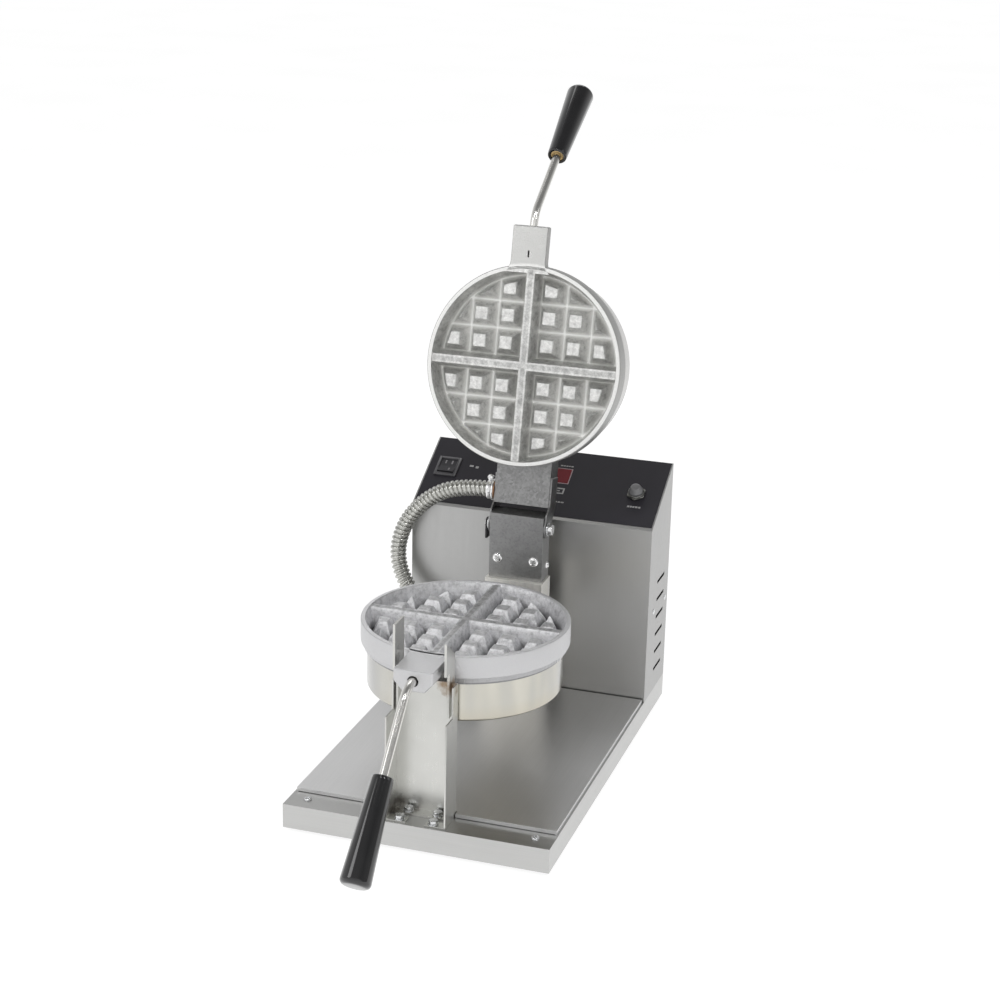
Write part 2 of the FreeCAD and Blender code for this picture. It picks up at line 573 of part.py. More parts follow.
def build_bracket(base):
    inner = "bracket_half_width - sheet"
    low = "post_top + 0.1"
    depth = ("bracket_front", "bracket_back")
    plates = [block("bracket_web", ("-bracket_half_width", "bracket_half_width"),
                    ("bracket_front", "bracket_front + sheet"), (low, "bracket_top")),
              block("bracket_roof", ("-bracket_half_width", "bracket_half_width"), depth,
                    ("bracket_top - sheet", "bracket_top"))]
    plates += sides_of("bracket_flange", inner, "bracket_half_width", depth, (low, "bracket_top"))
    pivot_z = "parting_height + pivot_rise"
    holes = [rod("bracket_pin_hole", "pin_radius + running", -40, 40, y="pivot_setback", z=pivot_z, along="x")]
    holes += [rod(f"bracket_hole{number}", 2.2, 285, 300, x=x, z="bracket_screw_height", along="y")
              for number, x in enumerate((-18.8, 18.8))]
    holes += [rod("bracket_side_hole", 2.2, -40, 40, y=306, z=171, along="x")]
    node("hinge_bracket", cut("bracket", fused("bracket_plates", plates), holes), base)

    front = size("bracket_front")
    side = size("bracket_half_width")
    screws("bracket_screws", [(x, front, size("bracket_screw_height"), -1) for x in (-18.8, 18.8)], base,
           along="y", head_radius=4.6, head=2.6, shank=9)
    screws("bracket_side_screws", [(sign * side, 306, 171, sign) for sign in (-1, 1)], base, along="x",
           head_radius=3.8, head=2.2, shank=6)


def build_pin(base):
    spot = {"y": "pivot_setback", "z": "parting_height + pivot_rise", "along": "x"}
    node("hinge_pin", fused("pin", [rod("pin_shank", "pin_radius", -34.5, 31, **spot),
                                    rod("pin_head", 5.6, 31, 35.5, **spot)]), base)
    washers = [cut(f"washer{number}", rod(f"washer_blank{number}", 7, *span, **spot),
                   [rod(f"washer_hole{number}", "pin_radius + running", -40, 40, **spot)])
               for number, span in enumerate(((-30.95, -29.75), (29.75, 30.95)))]
    node("hinge_washers", gathered("washers", washers), base)
    tab = block("push_nut_tab", (-33.4, -31), ("pivot_setback - 5.6", "pivot_setback + 5.6"),
                ("parting_height + pivot_rise - 15.2", "parting_height + pivot_rise"))
    nut = cut("push_nut", fused("push_nut_solid", [rod("push_nut_body", 5.6, -33.4, -31, **spot), tab]),
              [rod("push_nut_hole", "pin_radius + running", -40, 40, **spot)])
    node("pin_push_nut", nut, base)


# ---- the two grid halves -------------------------------------------------------------------------

def stud_centres():
    """Stud places: three, two and one whole studs a row in each quarter, and the ones the wall cuts."""
    first, pitch = size("stud_first"), size("stud_pitch")
    steps = [first + pitch * number for number in range(3)]
    limit = size("floor_radius") - 3
    return [(sx * x, sy * y) for x in steps for y in steps for sx in (-1, 1) for sy in (-1, 1)
            if math.hypot(x - size("stud_top"), y - size("stud_top")) < limit]


def build_grid(half, frame):
    gap = "parting_gap"
    cup = turned(half + "_cup", [(0, "-spigot_depth"), ("spigot_radius", "-spigot_depth"),
                                 ("spigot_radius", "-rim_depth"), ("rim_radius", "-rim_depth"),
                                 ("rim_radius", f"-{gap}"), ("mouth_radius", f"-{gap}"),
                                 ("floor_radius", "-floor_depth"), (0, "-floor_depth")])
    bar = [("-bar_foot", "-floor_depth - 1"), ("bar_foot", "-floor_depth - 1"), ("bar_top", "-bar_drop"),
           ("-bar_top", "-bar_drop")]
    bars = [padded(f"{half}_bar_{role[:2]}", role, [bar], "190", middle=True)
            for role in ("XZ_Plane", "YZ_Plane")]

    squares = [[(f"{x - size('stud_foot')}", f"{y - size('stud_foot')}"),
                (f"{x + size('stud_foot')}", f"{y - size('stud_foot')}"),
                (f"{x + size('stud_foot')}", f"{y + size('stud_foot')}"),
                (f"{x - size('stud_foot')}", f"{y + size('stud_foot')}")] for x, y in stud_centres()]
    studs = []
    for number, square in enumerate(squares):
        stud = padded(f"{half}_stud{number}", "XY_Plane", [square], "stud_rise",
                      taper="-atan((stud_foot - stud_top) / stud_rise)")
        place(stud, 0, 0, "-floor_depth")
        studs.append(stud)
    inside = rod(half + "_inside", "floor_radius + 1", "-floor_depth - 1", 0)
    clipped = doc.addObject("Part::MultiCommon", half + "_clipped_studs")
    clipped.Shapes = [gathered(half + "_studs", studs), inside]

    side, reach, shift = half + "_lug_half", half + "_lug_reach", half + "_shift"
    lug = padded(half + "_lug", "XZ_Plane",
                 [[(f"-{side}", f"-{gap}"), (f"-{side}", "-lug_depth * 0.55"),
                   (f"-{side} * 0.55", "-lug_depth"), (f"{side} * 0.55", "-lug_depth"),
                   (side, "-lug_depth * 0.55"), (side, f"-{gap}")]], f"{reach} - 95")
    place(lug, shift, -95, 0)
    whole = fused(half + "_casting", [cup, clipped, lug] + bars)
    bores = [rod(half + "_rod_bore", "rod_radius + running", f"-{reach} - 1", "-rod_start + 1", x=shift,
                 z="-rod_depth", along="y"),
             rod(half + "_bolt_bore", "bolt_radius + 0.1", "-spigot_depth - 1", "-spigot_depth + 5"),
             block(half + "_set_slot", (f"{shift} - 1", f"{shift} + 1"), (-113, -103), (-6, 1))]
    node(half + "_grid", cut(half + "_drilled", whole, bores), frame)


def ring(name, outer, inner, top, bottom):
    return cut(name, rod(name + "_disc", outer, f"-({bottom})", f"-({top})"),
               [rod(name + "_hole", inner, f"-({bottom}) - 1", f"-({top}) + 1")])


def build_shell(half, frame):
    inner = "shell_radius - shell_sheet"
    cup = turned(half + "_cup_shell", [
        (0, "-shell_depth"), ("shell_radius - shell_corner", "-shell_depth"),
        ("shell_radius", "-shell_depth + shell_corner"), ("shell_radius", "-rim_depth - 0.1"),
        (inner, "-rim_depth - 0.1"), (inner, "-shell_depth + shell_corner"),
        (f"{inner} - shell_corner + shell_sheet", "-shell_depth + shell_sheet"),
        (0, "-shell_depth + shell_sheet")])
    holes = [rod(half + "_shell_bolt_hole", "bolt_radius + 0.1", "-shell_depth - 1", "-shell_depth + 3"),
             block(half + "_shell_window", (-16, 16), (80, 100), (-57, -44))]
    node(half + "_shell", cut(half + "_shell_cut", cup, holes), frame)

    bolt_hole = "bolt_radius + 0.2"
    node(half + "_heater", ring(half + "_heater_disc", "heater_radius", bolt_hole, "spigot_depth + 0.1",
                                "heater_depth"), frame)
    node(half + "_clamp_plate", ring(half + "_clamp_disc", "heater_radius + 2", bolt_hole, "heater_depth + 0.1",
                                     "clamp_depth"), frame)
    wool = ring(half + "_wool", "spigot_radius - 1", bolt_hole, "clamp_depth + 0.1",
                "shell_depth - shell_sheet - 0.2")
    slot = block(half + "_sensor_slot", (26.6, 33.4), (19.5, 100), ("-clamp_depth - 6.8", "-clamp_depth + 1"))
    node(half + "_insulation", cut(half + "_wool_cut", wool, [slot]), frame)
    node(half + "_sensor", gathered(half + "_sensor_bulb", [
        rod(half + "_probe", 3, 20, 80, x=30, z="-clamp_depth - 3.4", along="y")]), frame)
    screws(half + "_centre_bolt", [(0, 0, -size("shell_depth") - 0.05, -1)], frame, hexed=True, head_radius=6.5,
           head=5, shank_radius=size("bolt_radius"), shank=41)


def build_arm(half, frame):
    end = "pivot_setback - grid_setback - 21" if half == "upper" else "post_front - grid_setback - 0.1"
    outer = block(half + "_arm_outer", ("-arm_half_width", "arm_half_width"), (70, end),
                  ("-arm_far", "-arm_near"))
    hollow = block(half + "_arm_hollow", ("-arm_half_width + arm_sheet", "arm_half_width - arm_sheet"),
                   (69, f"{end} - arm_sheet" if half == "upper" else f"{end} + 1"),
                   ("-arm_far + arm_sheet", "-arm_near - arm_sheet"))
    cope = rod(half + "_cope", "shell_radius + 0.05", -80, -20)
    solids = [outer]
    holes = [hollow, cope]
    if half == "upper":
        ears = padded("ear_plates", "YZ_Plane",
                      [[(110, "-arm_near - 2"), (110, "-arm_far + 3"), (142, "-arm_far + 3"),
                        (164, "-pivot_rise - 8"), (160.4, "-pivot_rise + ear_radius"),
                         (146, "-pivot_rise + 5"), (138, "-arm_near - 2")]],
                      "2 * (arm_half_width + ear_sheet)", middle=True)
        opening = [(90, -80), (190, -80), (190, 0), (90, 0)]
        pocketed(ears, "between_ears", "YZ_Plane", [opening], "2 * arm_half_width")
        boss = rod("ear_boss", "ear_radius", "-arm_half_width - ear_sheet", "arm_half_width + ear_sheet",
                   y="pivot_setback - grid_setback", z="-pivot_rise", along="x")
        between = block("boss_gap", ("-arm_half_width", "arm_half_width"), (140, 180), (-60, -20))
        solids += [ears, cut("ear_bosses", boss, [between])]
        holes += [rod("ear_pin_hole", "pin_radius + running", -40, 40, y="pivot_setback - grid_setback",
                      z="-pivot_rise", along="x"),
                  rod("arm_conduit_hole", 6, 20, 35, y=128.4, z=-48.3, along="x")]
    node(half + "_arm_box", cut(half + "_arm", fused(half + "_arm_solid", solids), holes), frame)


def build_handle(half, frame):
    shift = size(half + "_shift")
    start = Vector(shift, -size("rod_start"), -size("rod_depth"))
    corner = Vector(shift, -size(half + "_bend"), -size("rod_depth"))
    neck = Vector(shift, -size(half + "_reach"), -size(half + "_drop"))
    along = (neck - corner).normalize()
    line = [start, corner, neck + along * 55]
    node(half + "_handle_rod", tube(half + "_rod", line, [30], size("rod_radius")), frame)

    tilt = math.degrees(math.atan2(-along.y, along.z))
    grip_frame = frame * Placement(neck, Rotation(X_AXIS, tilt))
    bore = "rod_radius + running"
    pocket = "insert_radius + running"
    grip = turned(half + "_grip_turning", [(pocket, 0), ("grip_neck", 0), ("grip_end", "grip_length"),
                                           (0, "grip_length"), (0, 60), (bore, 60), (bore, "insert_depth"),
                                           (pocket, "insert_depth")])
    rounded(grip, half + "_grip_dome", "grip_dome",
            lambda edge: edge.BoundBox.ZMin > size("grip_length") - 1 and edge.BoundBox.XLength > 20)
    node(half + "_grip", grip, grip_frame)
    node(half + "_grip_insert", cut(half + "_insert", rod(half + "_insert_ring", "insert_radius", 0.4,
                                                          "insert_depth - running"),
                                    [rod(half + "_insert_hole", bore, -1, 6)]), grip_frame)


def build_half(half, frame):
    build_grid(half, frame)
    build_shell(half, frame)
    build_arm(half, frame)
    build_handle(half, frame)


# ---- conduit -------------------------------------------------------------------------------------

CONDUIT_LOW = Vector(-39.5, 300, 92.5)
CONDUIT_ROUTE = [(-71.5, 318, 239), (-105, 320, 221.5), (-130.6, 320, 191), (-137.8, 318, 154),
                 (-122, 314.5, 119.5),
                 (-91, 309, 98), (-62, 303.5, 92.5)]


def build_conduit(base, upper):
    """The metal conduit that feeds the upper heater: a loop from the lid's arm to the post."""

    def connector(name, frame, sign, seat, y, z):
        fitting = [("locknut", 11, seat, 32.6), ("barrel", 9.6, 32.6, size("conduit_end"))]
        solids = [rod(f"{name}_{part}", radius, *sorted((sign * start, sign * end)), y=y, z=z, along="x")
                  for part, radius, start, end in fitting]
        neck = rod(name + "_neck", 5.6, *sorted((sign * (seat - 5.5), sign * 30)), y=y, z=z, along="x")
        bore = rod(name + "_bore", 4.4, -45, 45, y=y, z=z, along="x")
        node(name, cut(name + "_cut", fused(name + "_solid", solids + [neck]), [bore]), frame)
    arm_face = size("arm_half_width") + size("ear_sheet") + 0.05
    connector("conduit_connector_upper", upper, 1, arm_face, 128.4, -48.3)
    connector("conduit_connector_lower", base, -1, size("post_half_width") + 0.05, CONDUIT_LOW.y, CONDUIT_LOW.z)

    high = (base.inverse() * upper).multVec(Vector(size("conduit_end"), 128.4, -48.3))
    points = [high] + [Vector(*point) for point in CONDUIT_ROUTE] + [CONDUIT_LOW]
    runs = [(after - before).Length for before, after in zip(points, points[1:])]
    radii = []
    for before, corner, after, run, following in zip(points, points[1:], points[2:], runs, runs[1:]):
        turn = (corner - before).getAngle(after - corner)
        radii.append(0.45 * min(run, following) / math.tan(turn / 2))
    overlap = block("hose_overlap", ("-conduit_end - 0.05", 0), (250, 370), (40, 300))
    node("conduit", cut("hose_trimmed", tube("hose", points, radii, size("conduit_radius")), [overlap]), base)


# ---- checks and export ---------------------------------------------------------------------------

def check():
    doc.recompute()
    for thing in doc.Objects:
        faults = [state for state in thing.State if state in ("Invalid", "Error")]
        if faults:
            raise RuntimeError(f"{thing.Label} is {faults}")
    for thing in NODES:
        if thing.Shape.isNull() or not thing.Shape.isValid() or thing.Shape.Volume <= 0:
            raise RuntimeError(f"{thing.Label} has no valid shape")


def export():
    os.makedirs("parts", exist_ok=True)
    for thing in NODES:
        thing.Shape.exportStep(f"parts/{thing.Label}.step")
    whole = FreeCAD.BoundBox()
    for thing in NODES:
        if thing.Label != "conduit":
            whole.add(thing.Shape.BoundBox)
    print(len(NODES), "sub-parts, box without the conduit:", whole)


def main():
    fill_sheet()
    base, panel, lower, upper, pivot = make_frames()
    build_base(base)
    build_housing(base, panel)
    build_panel(panel)
    build_electrics(base)
    build_stand(base)
    build_post(base)
    build_bracket(base)
    build_pin(base)
    build_half("lower", lower)
    build_half("upper", upper)
    build_conduit(base, upper)
    check()
    export()


main()
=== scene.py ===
"""Looks for a counter-top round waffle baker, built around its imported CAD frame.

Everything is drawn in millimetres in a local frame of the machine (base, panel, lower half, upper half) and
put in the row frame in metres by that frame's matrix.
"""

import json
import math

import bmesh
import bpy
from mathutils import Matrix, Vector, noise


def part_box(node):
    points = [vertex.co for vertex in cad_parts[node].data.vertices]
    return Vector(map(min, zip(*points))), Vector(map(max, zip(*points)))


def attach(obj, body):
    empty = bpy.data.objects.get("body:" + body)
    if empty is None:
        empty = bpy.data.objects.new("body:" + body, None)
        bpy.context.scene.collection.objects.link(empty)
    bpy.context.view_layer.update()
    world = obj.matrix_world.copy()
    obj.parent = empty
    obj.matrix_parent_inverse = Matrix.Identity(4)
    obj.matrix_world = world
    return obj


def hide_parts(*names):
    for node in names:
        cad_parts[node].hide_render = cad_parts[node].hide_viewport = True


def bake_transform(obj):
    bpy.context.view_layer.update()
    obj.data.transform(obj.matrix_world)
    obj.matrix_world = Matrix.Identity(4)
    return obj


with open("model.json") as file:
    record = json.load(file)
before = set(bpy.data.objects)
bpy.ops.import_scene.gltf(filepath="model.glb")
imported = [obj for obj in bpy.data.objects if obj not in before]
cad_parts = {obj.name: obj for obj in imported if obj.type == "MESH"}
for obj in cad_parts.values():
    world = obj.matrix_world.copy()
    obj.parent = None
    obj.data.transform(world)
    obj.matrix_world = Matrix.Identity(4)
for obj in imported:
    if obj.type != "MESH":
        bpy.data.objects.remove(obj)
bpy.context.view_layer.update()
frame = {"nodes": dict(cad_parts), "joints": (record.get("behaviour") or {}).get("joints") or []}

MM = 0.001
JOINTS = {joint["name"]: joint for joint in frame["joints"]}

# Sizes the looks share with the CAD frame, in millimetres.
PAN_W, PAN_D = 254.0, 419.5
HOUSING_FRONT, HOUSING_TOP, SLOPE_RISE, SLOPE_RUN = 336.7, 209.1, 47.2, 82.8
SLOPE = math.atan2(SLOPE_RISE, SLOPE_RUN)
GRID_Y, GRID_Z = 137.4, 174.3
RIM_R, RIM_DEPTH, MOUTH_R, FLOOR_R, FLOOR_DEPTH = 97.9, 21.5, 93.6, 88.9, 20.0
STUD_FIRST, STUD_PITCH, STUD_TOP, STUD_FOOT, STUD_RISE = 20.9, 26.8, 6.1, 12.4, 14.6
BAR_TOP, BAR_FOOT, BAR_DROP = 4.0, 8.4, 1.8
LUG_DEPTH, ROD_DEPTH, ROD_R = 20.0, 10.0, 4.0
LUGS = {"lower": (18.5, 138.5), "upper": (17.5, 135.4)}
SHIFT = {"lower": -1.5, "upper": 3.7}
HANDLES = {"lower": (153.0, 209.4, 69.8), "upper": (146.6, 206.2, 68.9)}
GRIP_LENGTH, GRIP_END = 96.5, 14.0
SHELL_R, SHELL_DEPTH = 91.85, 65.6
GAP = 0.15
HALVES = (("lower", "base"), ("upper", "lid"))

# Places on the panel, right of its middle and up its slope.
SWITCH, WINDOW, BUTTON = (-105.0, 53.5), (0.0, 59.85), (99.5, 47.0)
FILM = 0.4

# The camera, in degrees and in the base's millimetres.
AZIMUTH, ELEVATION, ROLL, LENS = 17.57, 18.4, 1.33, 74.185
CAMERA_SPOT = (566.92, -1556.44, 883.33)

# Faces larger than this, in square metres, are flat plates and are shaded flat.
PLATE_AREA = 1e-4
# Edges of CAD pieces that turn by more than this angle are rounded.
FOLD = math.radians(28)


# ---- frames ----

def make_frames():
    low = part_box("base_pan")[0]
    base = Matrix.Translation((0, low.y, low.z))
    panel = base @ Matrix.Translation(Vector((0, HOUSING_FRONT, HOUSING_TOP)) * MM)
    panel = panel @ Matrix.Rotation(SLOPE, 4, "X")
    lower = base @ Matrix.Translation((0, GRID_Y * MM, GRID_Z * MM))
    hinge = JOINTS["lid_hinge"]
    pivot = Matrix.Translation(Vector(hinge["pos_m"]))
    swing = pivot @ Matrix.Rotation(-math.radians(hinge["range_deg"][1]), 4, "X") @ pivot.inverted()
    upper = swing @ lower @ Matrix.Rotation(math.pi, 4, "Y")
    return {"base": base, "panel": panel, "lower": lower, "upper": upper, "row": Matrix.Identity(4)}


FRAMES = make_frames()


# ---- materials ----

class Shader:
    """A Principled material under construction, with short ways to add and join nodes."""

    def __init__(self, name, **values):
        self.material = bpy.data.materials.new(name)
        self.material.use_nodes = True
        self.tree = self.material.node_tree
        self.bsdf = self.tree.nodes["Principled BSDF"]
        self.coords = self.tree.nodes.new("ShaderNodeTexCoord").outputs["Object"]
        for label, value in values.items():
            self.bsdf.inputs[label.replace("_", " ")].default_value = value

    def add(self, kind, settings=None, **inputs):
        made = self.tree.nodes.new("ShaderNode" + kind)
        for label, value in (settings or {}).items():
            setattr(made, label, value)
        for label, value in inputs.items():
            self.put(made.inputs[label.replace("_", " ")], value)
        return made

    def put(self, socket, value):
        if isinstance(value, bpy.types.NodeSocket):
            self.tree.links.new(value, socket)
        else:
            socket.default_value = value

    def noise(self, scale, detail=4.0, roughness=0.55, stretch=(1, 1, 1)):
        place = self.add("Mapping", Vector=self.coords, Scale=stretch).outputs["Vector"]
        made = self.add("TexNoise", Vector=place, Scale=scale, Detail=detail, Roughness=roughness)
        return made.outputs["Fac"]

    def cells(self, scale):
        return self.add("TexVoronoi", Vector=self.coords, Scale=scale)

    def ramp(self, factor, *stops):
        made = self.add("ValToRGB", Fac=factor)
        ramp = made.color_ramp
        while len(ramp.elements) < len(stops):
            ramp.elements.new(0.5)
        for element, (place, colour) in zip(ramp.elements, stops):
            element.position = place
            element.color = grey(colour) if isinstance(colour, (int, float)) else (*colour, 1)
        return made.outputs["Color"]

    def level(self, factor, low, high, start, end):
        """Maps a factor's range from start to end onto low to high."""
        made = self.add("MapRange", {"clamp": True}, Value=factor)
        for label, value in (("From Min", start), ("From Max", end), ("To Min", low), ("To Max", high)):
            made.inputs[label].default_value = value
        return made.outputs["Result"]

    def mix(self, factor, first, second):
        made = self.add("Mix", {"data_type": "RGBA"})
        self.put(made.inputs["Factor"], factor)
        self.put(made.inputs["A"], first if isinstance(first, bpy.types.NodeSocket) else grey(first))
        self.put(made.inputs["B"], second if isinstance(second, bpy.types.NodeSocket) else grey(second))
        return next(out for out in made.outputs if out.type == "RGBA")

    def maths(self, operation, first, second=0.0):
        made = self.add("Math", {"operation": operation})
        self.put(made.inputs[0], first)
        self.put(made.inputs[1], second)
        return made.outputs[0]

    def axis(self, letter):
        return self.add("SeparateXYZ", Vector=self.coords).outputs[letter]

    def radius(self):
        """Distance from the object's Z axis."""
        flat = self.add("VectorMath", {"operation": "MULTIPLY"})
        self.put(flat.inputs[0], self.coords)
        flat.inputs[1].default_value = (1, 1, 0)
        length = self.add("VectorMath", {"operation": "LENGTH"}, Vector=flat.outputs["Vector"])
        return length.outputs["Value"]

    def facing(self, letter):
        """How far a surface faces along an axis of its object."""
        return self.add("SeparateXYZ", Vector=self.add("TexCoord").outputs["Normal"]).outputs[letter]

    def near(self, centre, radius):
        """1 at a point in object space, falling to 0 at a radius."""
        away = self.add("VectorMath", {"operation": "DISTANCE"})
        self.put(away.inputs[0], self.coords)
        away.inputs[1].default_value = centre
        return self.level(away.outputs["Value"], 1, 0, 0, radius)

    def bump(self, height, strength, distance):
        made = self.add("Bump", Height=height, Strength=strength, Distance=distance)
        self.tree.links.new(made.outputs["Normal"], self.bsdf.inputs["Normal"])

    def set(self, **inputs):
        for label, value in inputs.items():
            self.put(self.bsdf.inputs[label.replace("_", " ")], value)
        return self


def scaled(colour, factor):
    return tuple(min(1.0, part * factor) for part in colour)


def grey(value):
    return (value, value, value, 1) if isinstance(value, (int, float)) else (*value, 1)[:4]


def brushed_steel(name, shade, rough, grain, tint=(1, 1, 0.985), across=None):
    """Sheet steel with a fine straight grain, faint smears and small scuffs.

    across: how much brighter faces to the front are painted than faces to the side; this is painted light."""
    s = Shader(name, Metallic=1.0)
    lines = s.noise(1.0, 4, 0.6, grain)
    smear = s.noise(7, 3, 0.5)
    scuffs = s.noise(210, 4, 0.7)
    colour = s.ramp(lines, (0.3, scaled(tint, shade * 0.96)), (0.7, scaled(tint, shade * 1.04)))
    colour = s.mix(s.level(smear, 0, 0.35, 0.4, 0.75), colour, scaled(tint, shade * 0.88))
    if across:
        # Faces turned to the front are painted lighter than faces turned to the side: painted light.
        painted_front_light = s.level(s.maths("ABSOLUTE", s.facing("Y")), 0, 1, 0.5, 0.8)
        colour = s.mix(painted_front_light, colour, scaled(tint, shade * across))
    dull = s.level(scuffs, -0.02, 0.05, 0.5, 0.8)
    s.set(Base_Color=colour, Roughness=s.maths("ADD", s.level(lines, *rough, 0.3, 0.7), dull))
    s.bump(lines, 0.05, 0.00002)
    return s.material


def galvanised(name, shade, rough, contrast, grain):
    """Zinc-dipped sheet: a crystal spangle with a mottled grey bloom."""
    s = Shader(name, Metallic=1.0)
    value = s.add("SeparateColor", Color=s.cells(grain).outputs["Color"]).outputs["Red"]
    bloom = s.noise(140, 6, 0.75)
    spangle = s.ramp(value, (0, shade * (1 - contrast)), (1, shade * (1 + contrast)))
    colour = s.mix(s.level(bloom, 0, 0.85, 0.42, 0.62), spangle, shade * 1.12)
    colour = s.mix(s.level(s.noise(420, 3, 0.6), 0, 0.5, 0.5, 0.72), colour, shade * 0.66)
    s.set(Base_Color=colour, Roughness=s.level(bloom, rough[0], rough[1], 0.3, 0.7))
    s.bump(bloom, 0.15, 0.0001)
    return s.material


def cast_aluminium(name, flat, slope, wall, tint, pits, lug, low):
    """Sand-cast aluminium: worn bright flats, darker seasoned slopes and walls, and a pitted grainy skin.

    flat, slope, wall and lug are shades; pits is how worn the flats are; low scales the slope's shade at the
    grid's floor, and below 1 it is painted shade that darkens the crevices towards the floor."""
    s = Shader(name, Metallic=1.0)
    grain = s.noise(620, 5, 0.7)
    patches = s.noise(160, 6, 0.75)
    specks = s.noise(330, 3, 0.6)
    level = s.level(s.facing("Z"), 0, 1, 0.80, 0.93)
    sides = s.ramp(patches, (0.32, scaled(tint, slope * 0.62)), (0.5, scaled(tint, slope)),
                   (0.68, scaled(tint, slope * 1.22)))
    radius = s.radius()
    inside = s.level(radius, 1, 0, (MOUTH_R - 0.5) * MM, (MOUTH_R + 0.3) * MM)
    rim = s.ramp(grain, (0.3, scaled(tint, flat * 0.9)), (0.6, scaled(tint, flat)))
    rim = s.mix(s.level(radius, 0, 1, RIM_R * MM, (RIM_R + 2) * MM), rim, scaled(tint, lug))
    tops = s.ramp(patches, (0.36, scaled(tint, flat * 0.62)), (0.62, scaled(tint, flat)))
    flats = s.mix(inside, rim, tops)
    pitted = s.maths("MULTIPLY", s.level(specks, 0, pits, 0.50, 0.66), inside)
    worn = s.mix(pitted, flats, scaled(tint, slope))
    outer = s.ramp(grain, (0.3, scaled(tint, wall * 0.92)), (0.7, scaled(tint, wall)))
    colour = s.mix(level, s.mix(inside, outer, sides), worn)
    # Bar tops are painted darker in the middle, which leaves bright lines along their edges: painted
    # highlights on the rounded bar edges.
    across = s.maths("MINIMUM", s.maths("ABSOLUTE", s.axis("X")), s.maths("ABSOLUTE", s.axis("Y")))
    groove = s.maths("MULTIPLY", s.level(across, 1, 0, (BAR_TOP - 2.2) * MM, (BAR_TOP - 1.2) * MM), inside)
    dull = s.ramp(patches, (0.36, scaled(tint, flat * 0.42)), (0.64, scaled(tint, flat * 0.84)))
    colour = s.mix(s.maths("MULTIPLY", groove, level), colour, dull)
    # Towards the floor the colour becomes the slope's shade times low: with the lower grid's low this is
    # painted shade in the crevices.
    painted_light_near_floor = s.level(s.axis("Z"), 1, 0, -FLOOR_DEPTH * MM, (1 - FLOOR_DEPTH + STUD_RISE * 0.4) * MM)
    colour = s.mix(s.maths("MULTIPLY", painted_light_near_floor, inside), colour, scaled(tint, slope * low))
    s.set(Base_Color=colour, Roughness=s.level(grain, 0.36, 0.56, 0.3, 0.7))
    s.bump(s.mix(0.4, grain, specks), 0.8, 0.001)
    return s.material


def heat_tinted(name):
    """Polished steel that heat has turned straw yellow in soft bands."""
    s = Shader(name, Metallic=1.0)
    drift = s.noise(24, 2, 0.5, (1, 1, 0.14))
    lines = s.noise(1.0, 3, 0.6, (16, 16, 900))
    straw = s.ramp(drift, (0.34, (0.44, 0.44, 0.43)), (0.5, (0.56, 0.545, 0.49)), (0.68, (0.72, 0.70, 0.62)))
    low = s.level(s.axis("Z"), 0.45, 0.0, -SHELL_DEPTH * MM, -50 * MM)
    colour = s.mix(low, straw, (0.52, 0.47, 0.36))
    colour = s.mix(s.level(s.axis("X"), 0.85, 0, -0.07, -0.02), colour, (0.44, 0.44, 0.435))
    s.set(Base_Color=colour, Roughness=s.level(lines, 0.17, 0.21, 0.3, 0.7))
    s.bump(drift, 0.2, 0.0006)
    return s.material


def stained_steel(name):
    """The stand's polished sheet, with a brown heat stain under the lug and soot at its foot."""
    s = Shader(name, Metallic=1.0)
    lines = s.noise(1.0, 4, 0.6, (900, 900, 14))
    cloud = s.noise(90, 4, 0.65)
    colour = s.ramp(s.noise(16, 3, 0.5), (0.35, (0.60, 0.60, 0.575)), (0.7, (0.66, 0.66, 0.635)))
    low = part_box("front_stand")[0]
    top = s.near((0.021, low.y + 0.029, low.z + 0.127), 0.016)
    stain = s.level(s.maths("ADD", top, s.level(cloud, -0.3, 0.3, 0.3, 0.7)), 0, 0.95, 0.25, 0.75)
    colour = s.mix(stain, colour, (0.30, 0.22, 0.15))
    foot = s.maths("ADD", s.near((-0.024, low.y + 0.022, low.z), 0.026),
                   s.near((0.02, low.y + 0.024, low.z), 0.018))
    soot = s.level(s.maths("ADD", foot, s.level(cloud, -0.45, 0.35, 0.3, 0.7)), 0, 0.85, 0.35, 0.95)
    colour = s.mix(soot, colour, (0.14, 0.115, 0.095))
    s.set(Base_Color=colour, Roughness=s.level(s.mix(0.5, lines, cloud), 0.24, 0.38, 0.3, 0.7))
    s.bump(lines, 0.04, 0.00002)
    return s.material


def plain_metal(name, colour, rough, grain=260, wear=0.08):
    """Plated or drawn metal with slight unevenness."""
    s = Shader(name, Metallic=1.0)
    spots = s.noise(grain, 4, 0.6)
    dull = tuple(part * (1 - 2 * wear) for part in colour)
    s.set(Base_Color=s.ramp(spots, (0.35, dull), (0.65, colour)),
          Roughness=s.level(spots, rough, rough + 0.12, 0.35, 0.7))
    return s.material


def moulded(name, colour, rough, coat=0.0, grain=900, relief=0.12, shine=0.5):
    """Moulded plastic or rubber with a fine texture and slight dulling."""
    s = Shader(name)
    spots = s.noise(grain, 3, 0.6)
    cloud = s.noise(24, 3, 0.5)
    lighter = tuple(min(1, part * 1.25 + 0.004) for part in colour)
    s.set(Base_Color=s.ramp(cloud, (0.35, colour), (0.7, lighter)), Coat_Weight=coat, Coat_Roughness=0.05,
          Roughness=s.level(cloud, rough, rough + 0.1, 0.3, 0.7), Specular_IOR_Level=shine)
    s.bump(spots, relief, 0.0001)
    return s.material


def red_lens(name):
    s = Shader(name, Roughness=0.12)
    cloud = s.noise(60, 2)
    s.set(Base_Color=s.ramp(cloud, (0.3, (0.165, 0.010, 0.016)), (0.7, (0.20, 0.014, 0.022))),
          Coat_Weight=0.4)
    return s.material


